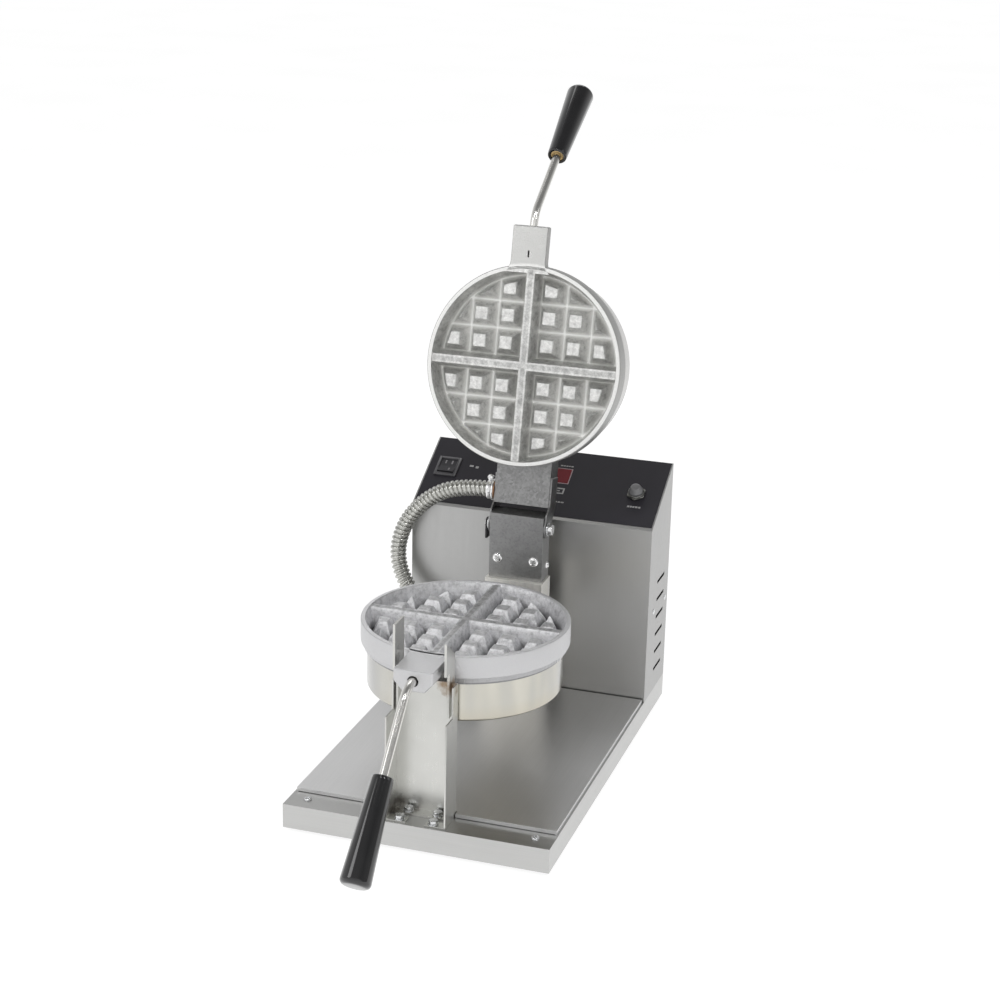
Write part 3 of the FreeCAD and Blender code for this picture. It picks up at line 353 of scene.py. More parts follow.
def floor_white(name):
    s = Shader(name, Roughness=0.95, Specular_IOR_Level=0.0)
    cloud = s.noise(3, 2)
    s.set(Base_Color=s.ramp(cloud, (0.3, 0.34), (0.7, 0.36)),
          Emission_Color=s.ramp(cloud, (0.3, 0.99), (0.7, 1.0)), Emission_Strength=0.85)
    return s.material


def make_materials():
    return {
        "pan": brushed_steel("pan_steel", 0.54, (0.3, 0.4), (12, 1500, 1500)),
        # Rounded sheet edges painted bright: edge wear plus a painted highlight along the bends.
        "edge": plain_metal("worn_and_highlit_edge", (0.90, 0.90, 0.88), 0.3, 300, 0.06),
        "deck": brushed_steel("deck_steel", 0.78, (0.32, 0.42), (1500, 12, 1500), (1, 1, 1)),
        "housing": brushed_steel("housing_steel", 0.42, (0.34, 0.44), (1500, 1500, 14), (1, 1, 0.99), 1.1),
        "stand": stained_steel("stand_steel"),
        "post": brushed_steel("post_steel", 0.95, (0.5, 0.62), (300, 300, 12), (1, 0.985, 0.94)),
        "bracket": galvanised("bracket_zinc", 0.34, (0.36, 0.48), 0.08, 420),
        "galvanised": galvanised("arm_zinc", 0.28, (0.34, 0.5), 0.24, 420),
        "casting_upper": cast_aluminium("upper_casting", flat=0.86, slope=0.66, wall=0.42, tint=(1, 1, 0.98),
                                        pits=0.6, lug=0.62, low=1.3),
        "casting_lower": cast_aluminium("lower_casting", flat=0.88, slope=0.80, wall=0.66,
                                        tint=(0.985, 0.985, 1.0), pits=0.7, lug=0.80, low=0.3),
        "shell": heat_tinted("heat_tinted_steel"),
        "chrome": plain_metal("rod_chrome", (0.82, 0.81, 0.78), 0.16, 25, 0.04),
        "zinc": plain_metal("zinc_plate", (0.78, 0.79, 0.80), 0.2),
        "bright": plain_metal("bright_screws", (0.92, 0.92, 0.92), 0.16),
        "copper": plain_metal("copper_washer", (0.50, 0.27, 0.15), 0.35),
        "brass": plain_metal("brass_insert", (0.50, 0.36, 0.17), 0.3),
        "conduit": plain_metal("conduit_strip", (0.60, 0.60, 0.57), 0.2, 300, 0.12),
        "grip": moulded("phenolic_grip", (0.005, 0.005, 0.006), 0.12, 1.0, 1200, 0.01, 0.3),
        "rubber": moulded("foot_rubber", (0.025, 0.025, 0.026), 0.6),
        "film": moulded("overlay_film", (0.014, 0.0125, 0.018), 0.5, 0.0, 1500, 0.05, 0.4),
        "black": moulded("black_nylon", (0.010, 0.010, 0.012), 0.4),
        "mark": moulded("label_mark", (0.36, 0.36, 0.36), 0.6),
        "faint": moulded("faint_mark", (0.20, 0.195, 0.205), 0.6),
        "outline": moulded("window_outline", (0.40, 0.30, 0.32), 0.5),
        "red": red_lens("red_window"),
        "boot": moulded("grey_boot", (0.15, 0.15, 0.155), 0.25, 0.6, 700, 0.05),
        "nut": plain_metal("dark_nut", (0.30, 0.30, 0.285), 0.35, 300, 0.1),
        "guard": moulded("switch_guard", (0.10, 0.098, 0.105), 0.4, 0.2, 700, 0.05),
        "rocker": moulded("rocker_black", (0.034, 0.033, 0.037), 0.5, 0.0, 700, 0.05, 0.3),
        "board": moulded("green_board", (0.02, 0.10, 0.045), 0.4),
        "core": plain_metal("laminated_core", (0.22, 0.20, 0.18), 0.45),
        "wool": moulded("ceramic_wool", (0.80, 0.79, 0.74), 0.9, 0, 500, 0.8),
        "mica": moulded("mica_sheet", (0.42, 0.35, 0.25), 0.5),
        "nylon": moulded("pale_nylon", (0.62, 0.60, 0.53), 0.45),
    }


MATERIALS = make_materials()


# ---- mesh helpers ----

def finish_piece(shape, name, material, place, body, replaced, smooth=40):
    """Makes an object of a mesh or bmesh drawn in millimetres and puts it on its body."""
    mesh = shape if isinstance(shape, bpy.types.Mesh) else as_mesh(shape, name)
    mesh.transform(Matrix.Scale(MM, 4))
    if smooth is not None:
        mesh.shade_smooth()
        mesh.set_sharp_from_angle(angle=math.radians(smooth))
    piece = bpy.data.objects.new(name, mesh)
    bpy.context.scene.collection.objects.link(piece)
    piece.matrix_world = FRAMES[place]
    mesh.materials.clear()
    for each in material if isinstance(material, (list, tuple)) else [material]:
        mesh.materials.append(MATERIALS[each])
    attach(piece, body)
    if replaced:
        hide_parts(*replaced)
    return piece


def as_mesh(bm, name):
    mesh = bpy.data.meshes.new(name)
    bm.normal_update()
    bm.to_mesh(mesh)
    bm.free()
    return mesh


def outward(bm):
    bmesh.ops.recalc_face_normals(bm, faces=bm.faces)


def corner_arcs(corners, steps=5):
    """A polyline through corners given as (x, y, radius), each corner rounded by an arc."""
    points = []
    count = len(corners)
    for index, (x, y, radius) in enumerate(corners):
        here = Vector((x, y))
        if radius <= 0:
            points.append(here)
            continue
        before = (Vector(corners[index - 1][:2]) - here).normalized()
        after = (Vector(corners[(index + 1) % count][:2]) - here).normalized()
        half = before.angle(after) / 2
        back = radius / math.tan(half)
        centre = here + (before + after).normalized() * (radius / math.sin(half))
        start = here + before * back - centre
        sweep = (here + after * back - centre).angle_signed(start)
        for step in range(steps + 1):
            turn = Matrix.Rotation(sweep * step / steps, 2)
            points.append(centre + turn @ start)
    return points


def lathe(bm, outline, segments, at=Matrix.Identity(4)):
    """Spins an outline of (radius, height) about Z. Points on the axis become one vertex."""
    rings = []
    for radius, height in outline:
        if radius < 1e-6:
            rings.append([bm.verts.new(at @ Vector((0, 0, height)))])
            continue
        rings.append([bm.verts.new(at @ Vector((radius * math.cos(a), radius * math.sin(a), height)))
                      for a in (2 * math.pi * n / segments for n in range(segments))])
    for one, two in zip(rings, rings[1:] + rings[:1]):
        if len(one) == 1 and len(two) == 1:
            continue
        for n in range(segments):
            m = (n + 1) % segments
            corners = [one[n % len(one)], one[m % len(one)], two[m % len(two)], two[n % len(two)]]
            unique = list(dict.fromkeys(corners))
            bm.faces.new(unique)


def turned(outline, segments, at=Matrix.Identity(4)):
    """A closed solid spun from an outline."""
    bm = bmesh.new()
    lathe(bm, outline, segments, at)
    outward(bm)
    return bm


def prism(bm, outline, low, high, bevel, steps, turn):
    """An outline of (x, y) raised from low to high, with every edge rounded by a bevel."""
    made = bmesh.new()
    bottom = [made.verts.new((x, y, low)) for x, y in outline]
    top = [made.verts.new((x, y, high)) for x, y in outline]
    made.faces.new(bottom)
    made.faces.new(top)
    for n, (a, b) in enumerate(zip(bottom, top)):
        m = (n + 1) % len(outline)
        made.faces.new((a, bottom[m], top[m], b))
    outward(made)
    if bevel:
        rims = [edge for edge in made.edges if abs(edge.calc_face_angle(0)) > math.radians(30)]
        rounded(made, rims, bevel, steps)
    made.transform(turn)
    absorb(bm, made)


def rounded(bm, edges, bevel, steps, material=-1):
    bmesh.ops.bevel(bm, geom=edges, offset=bevel, segments=steps, profile=0.5, affect="EDGES",
                    clamp_overlap=True, material=material)


def absorb(bm, other):
    """Adds another bmesh's geometry to this one and frees it."""
    spare = bpy.data.meshes.new("spare")
    other.to_mesh(spare)
    other.free()
    bm.from_mesh(spare)
    bpy.data.meshes.remove(spare)


def slab(bm, x, y, z, bevel=0.0, steps=2, turn=Matrix.Identity(4)):
    prism(bm, [(x[0], y[0]), (x[1], y[0]), (x[1], y[1]), (x[0], y[1])], z[0], z[1], bevel, steps, turn)


def swept(bm, points, ring):
    """A closed tube: ring(index, angle) gives the radius at each path point. Ends are capped."""
    sides = 40
    loops = []
    for index, (point, across, up) in enumerate(travelling_frames(points)):
        loop = []
        for side in range(sides):
            angle = 2 * math.pi * side / sides
            radius = ring(index, angle)
            reach = across * (radius * math.cos(angle)) + up * (radius * math.sin(angle))
            loop.append(bm.verts.new(point + reach))
        loops.append(loop)
    for one, two in zip(loops, loops[1:]):
        for n in range(sides):
            m = (n + 1) % sides
            bm.faces.new((one[n], one[m], two[m], two[n]))
    bm.faces.new(loops[0])
    bm.faces.new(loops[-1])
    outward(bm)


def travelling_frames(points):
    """Each point with two directions across the path that don't twist."""
    frames = []
    ahead = (points[1] - points[0]).normalized()
    across = ahead.orthogonal().normalized()
    for index, point in enumerate(points):
        before = points[max(index - 1, 0)]
        after = points[min(index + 1, len(points) - 1)]
        ahead = (after - before).normalized()
        across = (across - ahead * across.dot(ahead)).normalized()
        frames.append((point, across, ahead.cross(across)))
    return frames


def refined(node, name, material, body, bevel, steps, edge=None):
    """A copy of a CAD node's mesh with cleaned faces and rounded edges, in the node's place.

    edge: a material for the rounded edges, lighter than the faces: partly edge wear, partly a painted
    highlight along the bends."""
    source = frame["nodes"][node]
    bm = bmesh.new()
    bm.from_mesh(source.data)
    bmesh.ops.remove_doubles(bm, verts=bm.verts, dist=1e-6)
    bmesh.ops.dissolve_limit(bm, angle_limit=math.radians(1.5), verts=bm.verts, edges=bm.edges)
    bm.transform(Matrix.Scale(1 / MM, 4))
    sharp = [line for line in bm.edges
             if len(line.link_faces) == 2 and abs(line.calc_face_angle(0)) > FOLD]
    for face in bm.faces:
        face.material_index = 0
    rounded(bm, sharp, bevel, steps, 1 if edge else 0)
    materials = (material, edge) if edge else material
    piece = finish_piece(bm, name, materials, "row", body, (node,), 35)
    for face in piece.data.polygons:
        face.use_smooth = face.area < PLATE_AREA
    weigh(piece)
    return piece


def weigh(piece):
    """Keeps large faces flat-looking beside their rounded edges."""
    change = piece.modifiers.new("weighted_normals", "WEIGHTED_NORMAL")
    change.keep_sharp = True
    change.weight = 100


# ---- grids ----

def smooth_max(a, b, blend):
    """The larger of two heights, with the crease between them rounded over a blend distance."""
    share = max(blend - abs(a - b), 0) / blend
    return max(a, b) + share * share * blend * 0.25


def smooth_min(a, b, blend):
    return -smooth_max(-a, -b, blend)


def slope_down(distance, top_half, foot_half, top, fall):
    """Height of a ridge with a flat top and sloping sides, at a distance from its middle."""
    return top - max(distance - top_half, 0) * fall / (foot_half - top_half)


def stud_steps():
    return [STUD_FIRST + STUD_PITCH * n for n in range(3)]


def grid_height(x, y):
    """Height of the grid's face under the parting plane."""
    radius = math.hypot(x, y)
    fall = STUD_RISE / (STUD_FOOT - STUD_TOP)
    top = -FLOOR_DEPTH + STUD_RISE
    height = -FLOOR_DEPTH
    for cx in stud_steps():
        for cy in stud_steps():
            away = max(abs(abs(x) - cx), abs(abs(y) - cy))
            if away < STUD_FOOT + 1:
                flank = -FLOOR_DEPTH + (STUD_FOOT - away) * fall
                edge = -FLOOR_DEPTH + (FLOOR_R - 1.2 - radius) * fall
                height = smooth_max(height, smooth_min(smooth_min(flank, edge, 0.8), top, 0.7), 2.0)
    bars = max(slope_down(min(abs(x), abs(y)), BAR_TOP, BAR_FOOT, 0, FLOOR_DEPTH),
               slope_down((abs(x) + abs(y)) * 0.72, BAR_TOP + 1.5, BAR_FOOT + 2, 0, FLOOR_DEPTH))
    height = smooth_max(height, smooth_min(bars, -BAR_DROP, 2.2), 1.6)
    wall = -FLOOR_DEPTH + (radius - FLOOR_R) * (FLOOR_DEPTH - GAP) / (MOUTH_R - FLOOR_R)
    height = smooth_max(height, min(wall, -GAP), 1.2)
    return min(height, -GAP - max(radius - MOUTH_R + 0.3, 0) * 0.6)


def casting_ripple(x, y, seed):
    coarse = noise.noise(Vector((x * 0.22, y * 0.22, seed)))
    fine = noise.noise(Vector((x * 0.6, y * 0.6, seed + 9)))
    return 0.26 * coarse + 0.24 * fine


def build_grid_field(bm, seed):
    """The studded face: a fine height field, closed by a skirt and a flat underside."""
    pitch, reach = 0.72, 95.5
    count = int(2 * reach / pitch)
    places = [-reach + 2 * reach * n / count for n in range(count + 1)]
    tops = {}
    for i, x in enumerate(places):
        for j, y in enumerate(places):
            if math.hypot(x, y) <= reach:
                z = grid_height(x, y)
                if z < -GAP - 0.01:
                    z += casting_ripple(x, y, seed)
                tops[i, j] = bm.verts.new((x, y, z))
    for i, j in list(tops):
        ring = [(i, j), (i + 1, j), (i + 1, j + 1), (i, j + 1)]
        if all(key in tops for key in ring):
            bm.faces.new([tops[key] for key in ring])
    bmesh.ops.delete(bm, geom=[vert for vert in bm.verts if not vert.link_faces], context="VERTS")
    edges = [edge for edge in bm.edges if edge.is_boundary]
    made = bmesh.ops.extrude_edge_only(bm, edges=edges)["geom"]
    for vert in made:
        if isinstance(vert, bmesh.types.BMVert):
            vert.co.z = -FLOOR_DEPTH - 6
    bmesh.ops.contextual_create(bm, geom=[edge for edge in bm.edges if edge.is_boundary])


def build_rim(bm):
    outline = corner_arcs([(MOUTH_R - 0.4, -28.3, 0), (90, -28.3, 0), (90, -RIM_DEPTH - 0.02, 0),
                           (RIM_R, -RIM_DEPTH, 1.2), (RIM_R, -GAP, 1.3), (MOUTH_R, -GAP, 0.25),
                           (MOUTH_R - 0.4, -4, 0)])
    lathe(bm, outline, 144)


def lug_section(half_width, y, inset=0.0):
    """The lug's outline across its length: a flat top, straight sides and a narrower bottom."""
    wide, low = half_width - inset, -LUG_DEPTH + inset
    waist = -LUG_DEPTH * 0.56
    corners = [(-wide, -GAP - inset, 0.9), (wide, -GAP - inset, 0.9), (wide, waist, 2.0),
               (wide * 0.58, low, 2.0), (-wide * 0.58, low, 2.0), (-wide, waist, 2.0)]
    return [Vector((p.x, y, p.y)) for p in corner_arcs(corners, 4)]


def build_lug(half):
    """The handle lug: a flared root at the rim and a rounded front."""
    half_width, reach = LUGS[half]
    flare, root, round_off = 5.0, 90.0, 1.6
    sections = [lug_section(half_width + flare * (1 - step / 6) ** 2.2, -root - 2.0 * step)
                for step in range(7)]
    for turn in (math.pi / 8 * n for n in range(5)):
        back, inset = round_off * (1 - math.sin(turn)), round_off * (1 - math.cos(turn))
        sections.append(lug_section(half_width, back - reach, inset))
    bm = bmesh.new()
    loops = [[bm.verts.new(point) for point in section] for section in sections]
    count = len(loops[0])
    for one, two in zip(loops, loops[1:]):
        for n in range(count):
            m = (n + 1) % count
            bm.faces.new((one[n], one[m], two[m], two[n]))
    bm.faces.new(loops[0])
    bm.faces.new(loops[-1])
    outward(bm)
    bmesh.ops.translate(bm, verts=bm.verts, vec=(SHIFT[half], 0, 0))
    return bm


def lug_cutter(half):
    """What is cut from a lug: the mouth of the rod's bore and the slot of its set screw."""
    reach, shift = LUGS[half][1], SHIFT[half]
    bm = bmesh.new()
    mouth = facing((shift, -reach + 7, -ROD_DEPTH), (0, -1, 0))
    outline = [(0, 0), (ROD_R + 0.9, 0), (ROD_R + 0.9, 6.2), (ROD_R + 2.2, 9), (0, 9)]
    lathe(bm, outline, 48, mouth)
    if half == "upper":
        slab(bm, (shift - 0.8, shift + 0.8), (-111.5, -105), (-7, 2))
    outward(bm)
    return bm


def minus(whole_bm, cutter_bm, name):
    """A mesh with a cutter taken away by an exact boolean, both still in millimetres."""
    pieces = [bpy.data.objects.new(name, as_mesh(bm, name)) for bm in (whole_bm, cutter_bm)]
    for piece in pieces:
        bpy.context.scene.collection.objects.link(piece)
    change = pieces[0].modifiers.new("cut", "BOOLEAN")
    change.operation, change.object, change.solver = "DIFFERENCE", pieces[1], "EXACT"
    bpy.context.view_layer.update()
    result = bpy.data.meshes.new_from_object(pieces[0].evaluated_get(bpy.context.evaluated_depsgraph_get()))
    for piece in pieces:
        bpy.data.objects.remove(piece)
    return result


def build_grids():
    for half, body in HALVES:
        bm = bmesh.new()
        build_grid_field(bm, 3.0 if half == "lower" else 17.0)
        build_rim(bm)
        outward(bm)
        finish_piece(bm, half + "_grid_casting", "casting_" + half, half, body,
                     (half + "_grid",), smooth=50)
        lug = minus(build_lug(half), lug_cutter(half), half + "_lug")
        finish_piece(lug, half + "_grid_lug", "casting_" + half, half, body, ())


# ---- shells, handles ----

def build_shells():
    wall = 1.4
    for half, body in HALVES:
        outline = corner_arcs([(SHELL_R - wall, -RIM_DEPTH - 0.1, 0.3), (SHELL_R, -RIM_DEPTH - 0.1, 0.4),
                               (SHELL_R, -SHELL_DEPTH, 3.2), (0, -SHELL_DEPTH, 0),
                               (0, -SHELL_DEPTH + wall, 0), (SHELL_R - wall, -SHELL_DEPTH + wall, 2.0)])
        finish_piece(turned(outline, 144), half + "_shell_drum", "shell", half, body, (half + "_shell",))


def handle_corners(half):
    """Where a handle's rod bends and where its grip starts."""
    bend, reach, drop = HANDLES[half]
    return Vector((SHIFT[half], -bend, -ROD_DEPTH)), Vector((SHIFT[half], -reach, -drop))


def rod_line(half):
    """The handle rod's centreline: straight out of the lug, one bend, straight into the grip."""
    start = Vector((SHIFT[half], -118, -ROD_DEPTH))
    corner, neck = handle_corners(half)
    ahead = (neck - corner).normalized()
    back = (start - corner).normalized()
    bend = 30.0
    tilt = back.angle(ahead) / 2
    reach = bend / math.tan(tilt)
    centre = corner + (back + ahead).normalized() * (bend / math.sin(tilt))
    first, last = corner + back * reach - centre, corner + ahead * reach - centre
    axis = first.cross(last).normalized()
    total = first.angle(last)
    arc = [centre + Matrix.Rotation(total * n / 14, 3, axis) @ first for n in range(15)]
    leg = [arc[-1].lerp(neck, share) for share in (0.25, 0.5, 0.75)]
    return [start, start.lerp(arc[0], 0.5)] + arc + leg + [neck + ahead * 20]


def grip_matrix(half):
    corner, neck = handle_corners(half)
    ahead = (neck - corner).normalized()
    return Matrix.Translation(neck) @ Vector((0, 0, 1)).rotation_difference(ahead).to_matrix().to_4x4()


def build_handles():
    bore, pocket, top = ROD_R + 0.1, 6.7, GRIP_LENGTH
    for half, body in HALVES:
        bm = bmesh.new()
        swept(bm, rod_line(half), lambda index, angle: ROD_R)
        finish_piece(bm, half + "_rod_chromed", "chrome", half, body, (half + "_handle_rod",),
                     smooth=50)
        outline = corner_arcs([(pocket, 0.2, 0.2), (9.4, 0, 0.7), (9.9, 3, 0.6), (GRIP_END, top - 0.4, 4.6),
                               (GRIP_END * 0.5, top, 0), (0, top, 0), (0, 20, 0), (bore, 20, 0),
                               (bore, 4.1, 0), (pocket, 4.1, 0)], 8)
        finish_piece(turned(outline, 72, grip_matrix(half)), half + "_grip_phenolic", "grip", half, body,
                     (half + "_grip",), smooth=50)
        outline = corner_arcs([(bore, 4.0, 0), (bore, 0.9, 0.3), (5.4, 0.5, 0.3), (6.6, 0.9, 0.3),
                               (6.6, 4.0, 0)], 3)
        finish_piece(turned(outline, 48, grip_matrix(half)), half + "_grip_ferrule", "brass", half, body,
                     (half + "_grip_insert",))


# ---- conduit ----

CROWN_R = 8.4
CONDUIT_ROUTE = [(-71.5, 318, 239), (-105, 320, 221.5), (-130.6, 320, 191), (-137.8, 318, 154),
                 (-122, 314.5, 119.5), (-91, 309, 98), (-62, 303.5, 92.5)]
CONDUIT_LOW = (-39.5, 300, 92.5)
CONNECTOR_UP = (39.5, 128.4, -48.3)


def conduit_points():
    """The route's own points in metres, from the lid's connector to the post's."""
    top = FRAMES["upper"] @ (Vector(CONNECTOR_UP) * MM)
    return [top] + [FRAMES["base"] @ (Vector(point) * MM) for point in CONDUIT_ROUTE + [CONDUIT_LOW]]


def spline_line(points, name):
    """Points along the smooth line that a route's points control."""
    curve = bpy.data.curves.new(name, "CURVE")
    curve.dimensions = "3D"
    spline = curve.splines.new("NURBS")
    spline.points.add(len(points) - 1)
    for target, point in zip(spline.points, points):
        target.co = (*point, 1)
    spline.order_u = 3
    spline.use_endpoint_u = True
    spline.resolution_u = 40
    holder = bpy.data.objects.new(name, curve)
    mesh = bpy.data.meshes.new_from_object(holder)
    line = [vert.co.copy() for vert in mesh.vertices]
    bpy.data.meshes.remove(mesh)
    bpy.data.objects.remove(holder)
    return line


def evenly(line, spacing):
    """The same line with points an even distance apart, and its length."""
    total = sum((b - a).length for a, b in zip(line, line[1:]))
    count = max(2, round(total / spacing))
    result, walked, leg = [line[0]], 0.0, 0
    for n in range(1, count):
        target = total * n / count
        while walked + (line[leg + 1] - line[leg]).length < target:
            walked += (line[leg + 1] - line[leg]).length
            leg += 1
        share = (target - walked) / (line[leg + 1] - line[leg]).length
        result.append(line[leg].lerp(line[leg + 1], share))
    return result + [line[-1]], total


def strip_radius(phase):
    """Outline of one turn of interlocked strip: a rounded crown, a step and a narrow groove."""
    phase %= 1.0
    if phase < 0.56:
        return CROWN_R - 0.75 * (abs(phase - 0.28) / 0.28) ** 3.2
    if phase < 0.66:
        return CROWN_R - 0.75 - 1.25 * math.sin((phase - 0.56) / 0.10 * math.pi / 2)
    if phase < 0.90:
        return CROWN_R - 2.0 + 0.12 * math.sin((phase - 0.66) / 0.24 * math.pi)
    return CROWN_R - 2.0 + 1.25 * math.sin((phase - 0.90) / 0.10 * math.pi / 2)


def tucked_in(points, depth, spacing):
    """The line with both ends carried straight on, into the connectors."""
    count = round(depth / spacing)
    first, last = (points[0] - points[1]).normalized(), (points[-1] - points[-2]).normalized()
    before = [points[0] + first * spacing * n for n in range(count, 0, -1)]
    return before + points + [points[-1] + last * spacing * n for n in range(1, count + 1)]


def build_conduit():
    pitch, slices = 4.9, 16
    line, length = evenly(spline_line(conduit_points(), "conduit_line"), pitch * MM / slices)
    points = tucked_in([point / MM for point in line], 5.2, pitch / slices)
    bm = bmesh.new()

    def ring(index, angle):
        return strip_radius(index / slices - angle / (2 * math.pi))
    swept(bm, points, ring)
    hose = finish_piece(bm, "conduit_hose", "conduit", "row", "base", ())
    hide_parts("conduit")
    hose.parent = None
    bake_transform(hose)


# ---- fasteners and fittings ----

def facing(spot, direction, roll=0.0):
    """A frame at a point whose Z runs along a direction."""
    turn = Vector((0, 0, 1)).rotation_difference(Vector(direction)).to_matrix().to_4x4()
    return Matrix.Translation(spot) @ turn @ Matrix.Rotation(roll, 4, "Z")


def screw_head(bm, radius, rise, at, recess, shank):
    """A domed head with a cross recess, and its shank behind the seat."""
    rings, segments = 16, 56
    made = bmesh.new()

    def height(share, x, y):
        dome = rise * math.sqrt(max(1 - share ** 2.8, 0))
        arm, out = min(abs(x), abs(y)), max(abs(x), abs(y))
        if not recess or out > 0.6:
            return dome
        inside = min(max((0.15 - 0.06 * out - arm) / 0.07 + 0.5, 0), 1) * min((0.6 - out) / 0.12, 1)
        return dome - 0.55 * rise * inside
    loops = []
    turns = [2 * math.pi * n / segments for n in range(segments)]
    for share in (ring / rings for ring in range(1, rings + 1)):
        spots = [(share * math.cos(turn), share * math.sin(turn)) for turn in turns]
        loops.append([made.verts.new((radius * x, radius * y, height(share, x, y))) for x, y in spots])
    stem = radius * 0.46
    for level in (0.0, -shank):
        loops.append([made.verts.new((stem * math.cos(turn), stem * math.sin(turn), level))
                      for turn in turns])
    middle = made.verts.new((0, 0, height(0, 0, 0)))
    for n in range(segments):
        m = (n + 1) % segments
        made.faces.new((middle, loops[0][n], loops[0][m]))
        for one, two in zip(loops, loops[1:]):
            made.faces.new((one[n], one[m], two[m], two[n]))
    made.faces.new(loops[-1])
    outward(made)
    made.transform(at)
    absorb(bm, made)


def hex_head(bm, flats, rise, at, shank_radius, shank):
    """A hexagonal head with a chamfered top on a round washer face, and its shank."""
    corner = flats / math.sqrt(3)
    outline = [(corner * math.cos(math.pi * n / 3), corner * math.sin(math.pi * n / 3)) for n in range(6)]
    prism(bm, outline, 0.5, rise, 0.45, 2, at)
    rings = corner_arcs([(0, -shank, 0), (shank_radius, -shank, 0.3), (shank_radius, 0, 0),
                         (flats * 0.62, 0, 0), (flats * 0.62, 0.6, 0.2), (0, 0.6, 0)], 3)
    absorb(bm, turned(rings, 40, at))


def both_sides(*spots):
    return [(side * x, *rest) for x, *rest in spots for side in (-1, 1)]


def build_screws():
    """Every group of fasteners that shows.

    By CAD node: material, head radius and rise, shank, seats, direction, and if the head has a recess."""
    half = PAN_W / 2
    groups = {
        "bracket_screws": ("bright", 5.2, 2.6, 9, both_sides((18.8, 289.5, 178.5)), (0, -1, 0), True),
        "rear_cover_screws": ("zinc", 3.8, 2.2, 7,
                              both_sides((118, PAN_D, 36), (118, PAN_D, 135), (118, PAN_D, 234)),
                              (0, 1, 0), True),
        "bracket_side_screws": ("bright", 3.8, 2.2, 6, both_sides((27.7, 306, 171)), (1, 0, 0), True),
        "side_rivets": ("zinc", 2.9, 0.9, 3.4, both_sides((half, 408, 114), (half, 360.5, 115)),
                        (1, 0, 0), False),
        "pan_screws": ("zinc", 3.8, 2.2, 8, both_sides((109, 16.5, 23.6)), (0, 0, 1), True),
    }
    for node, (material, radius, rise, shank, seats, direction, recess) in groups.items():
        bm = bmesh.new()
        for number, (x, y, z) in enumerate(seats):
            ahead = (math.copysign(1, x), 0, 0) if direction[0] else direction
            screw_head(bm, radius, rise, facing((x, y, z), ahead, 0.5 + 1.9 * number), recess, shank)
        finish_piece(bm, node + "_heads", material, "base", "base", (node,))
    bolts = {"stand_bolts": (both_sides((16, 8, 25.05), (14, 25.5, 25.05)), 4.0, 10),
             "rear_post_screws": (both_sides((20, 300, 29.1)), 3.5, 12)}
    for node, (seats, rise, shank) in bolts.items():
        bm = bmesh.new()
        for number, seat in enumerate(seats):
            hex_head(bm, 8.0, rise, facing(seat, (0, 0, 1), 0.35 * number), 2.4, shank)
        finish_piece(bm, node + "_heads", "zinc", "base", "base", (node,))


def build_connectors():
    """Each end of the conduit: a copper washer, a cast ring, and a strap that a screw pulls tight."""
    ends = {"upper": ("lid", (29.65, 128.4, -48.3), (1, 0, 0), (0, -1, 0)),
            "lower": ("base", (-29.85, 300, 92.5), (-1, 0, 0), (0, 0, 1))}
    for half, (body, seat, ahead, up) in ends.items():
        place = "upper" if half == "upper" else "base"
        side = Vector(up).cross(Vector(ahead))
        at = Matrix.Translation(seat) @ Matrix((side, up, ahead)).transposed().to_4x4()
        node = "conduit_connector_" + half
        bm = bmesh.new()
        outline = corner_arcs([(5, -5, 0), (5.6, -5, 0.2), (5.6, 1.1, 0), (11, 1.1, 0.5), (11, 3.5, 0.7),
                               (8.7, 3.5, 0), (8.7, 2.4, 0), (5, 2.4, 0)], 3)
        lathe(bm, outline, 64, at)
        strap = corner_arcs([(8.55, 4.2, 0.2), (9.7, 4.2, 0.3), (9.7, 8.4, 0.3), (8.55, 8.4, 0.2)], 3)
        lathe(bm, strap, 64, at)
        outward(bm)
        for x in (-2.3, 2.3):
            slab(bm, (x - 0.6, x + 0.6), (9.0, 14.2), (4.2, 8.4), 0.3, 2, at)
        slab(bm, (-3.2, 3.2), (9.2, 10.6), (2.6, 8.0), 0.5, 2, at)
        screw_head(bm, 3.1, 1.7, at @ facing((3.0, 12.2, 6.3), (1, 0, 0), 0.4), True, 6.2)
        finish_piece(bm, node + "_clamp", "bright", place, body, (node,))
        outline = corner_arcs([(5.8, 0.02, 0.1), (10.2, 0.02, 0.2), (10.2, 1.0, 0.2), (5.8, 1.0, 0.1)], 2)
        finish_piece(turned(outline, 64, at), node + "_washer", "copper", place, body, ())


# ---- panel ----

def frame_ring(bm, centre, width, length, line, low, high, bevel=0.0):
    """Four strips that frame a rectangle."""
    x, y = centre
    half_w, half_l = width / 2, length / 2
    for side in (-1, 1):
        upright = sorted((x + side * half_w, x + side * (half_w - line)))
        level = sorted((y + side * half_l, y + side * (half_l - line)))
        slab(bm, upright, (y - half_l, y + half_l), (low, high), bevel)
        slab(bm, (x - half_w + line, x + half_w - line), level, (low, high), bevel)


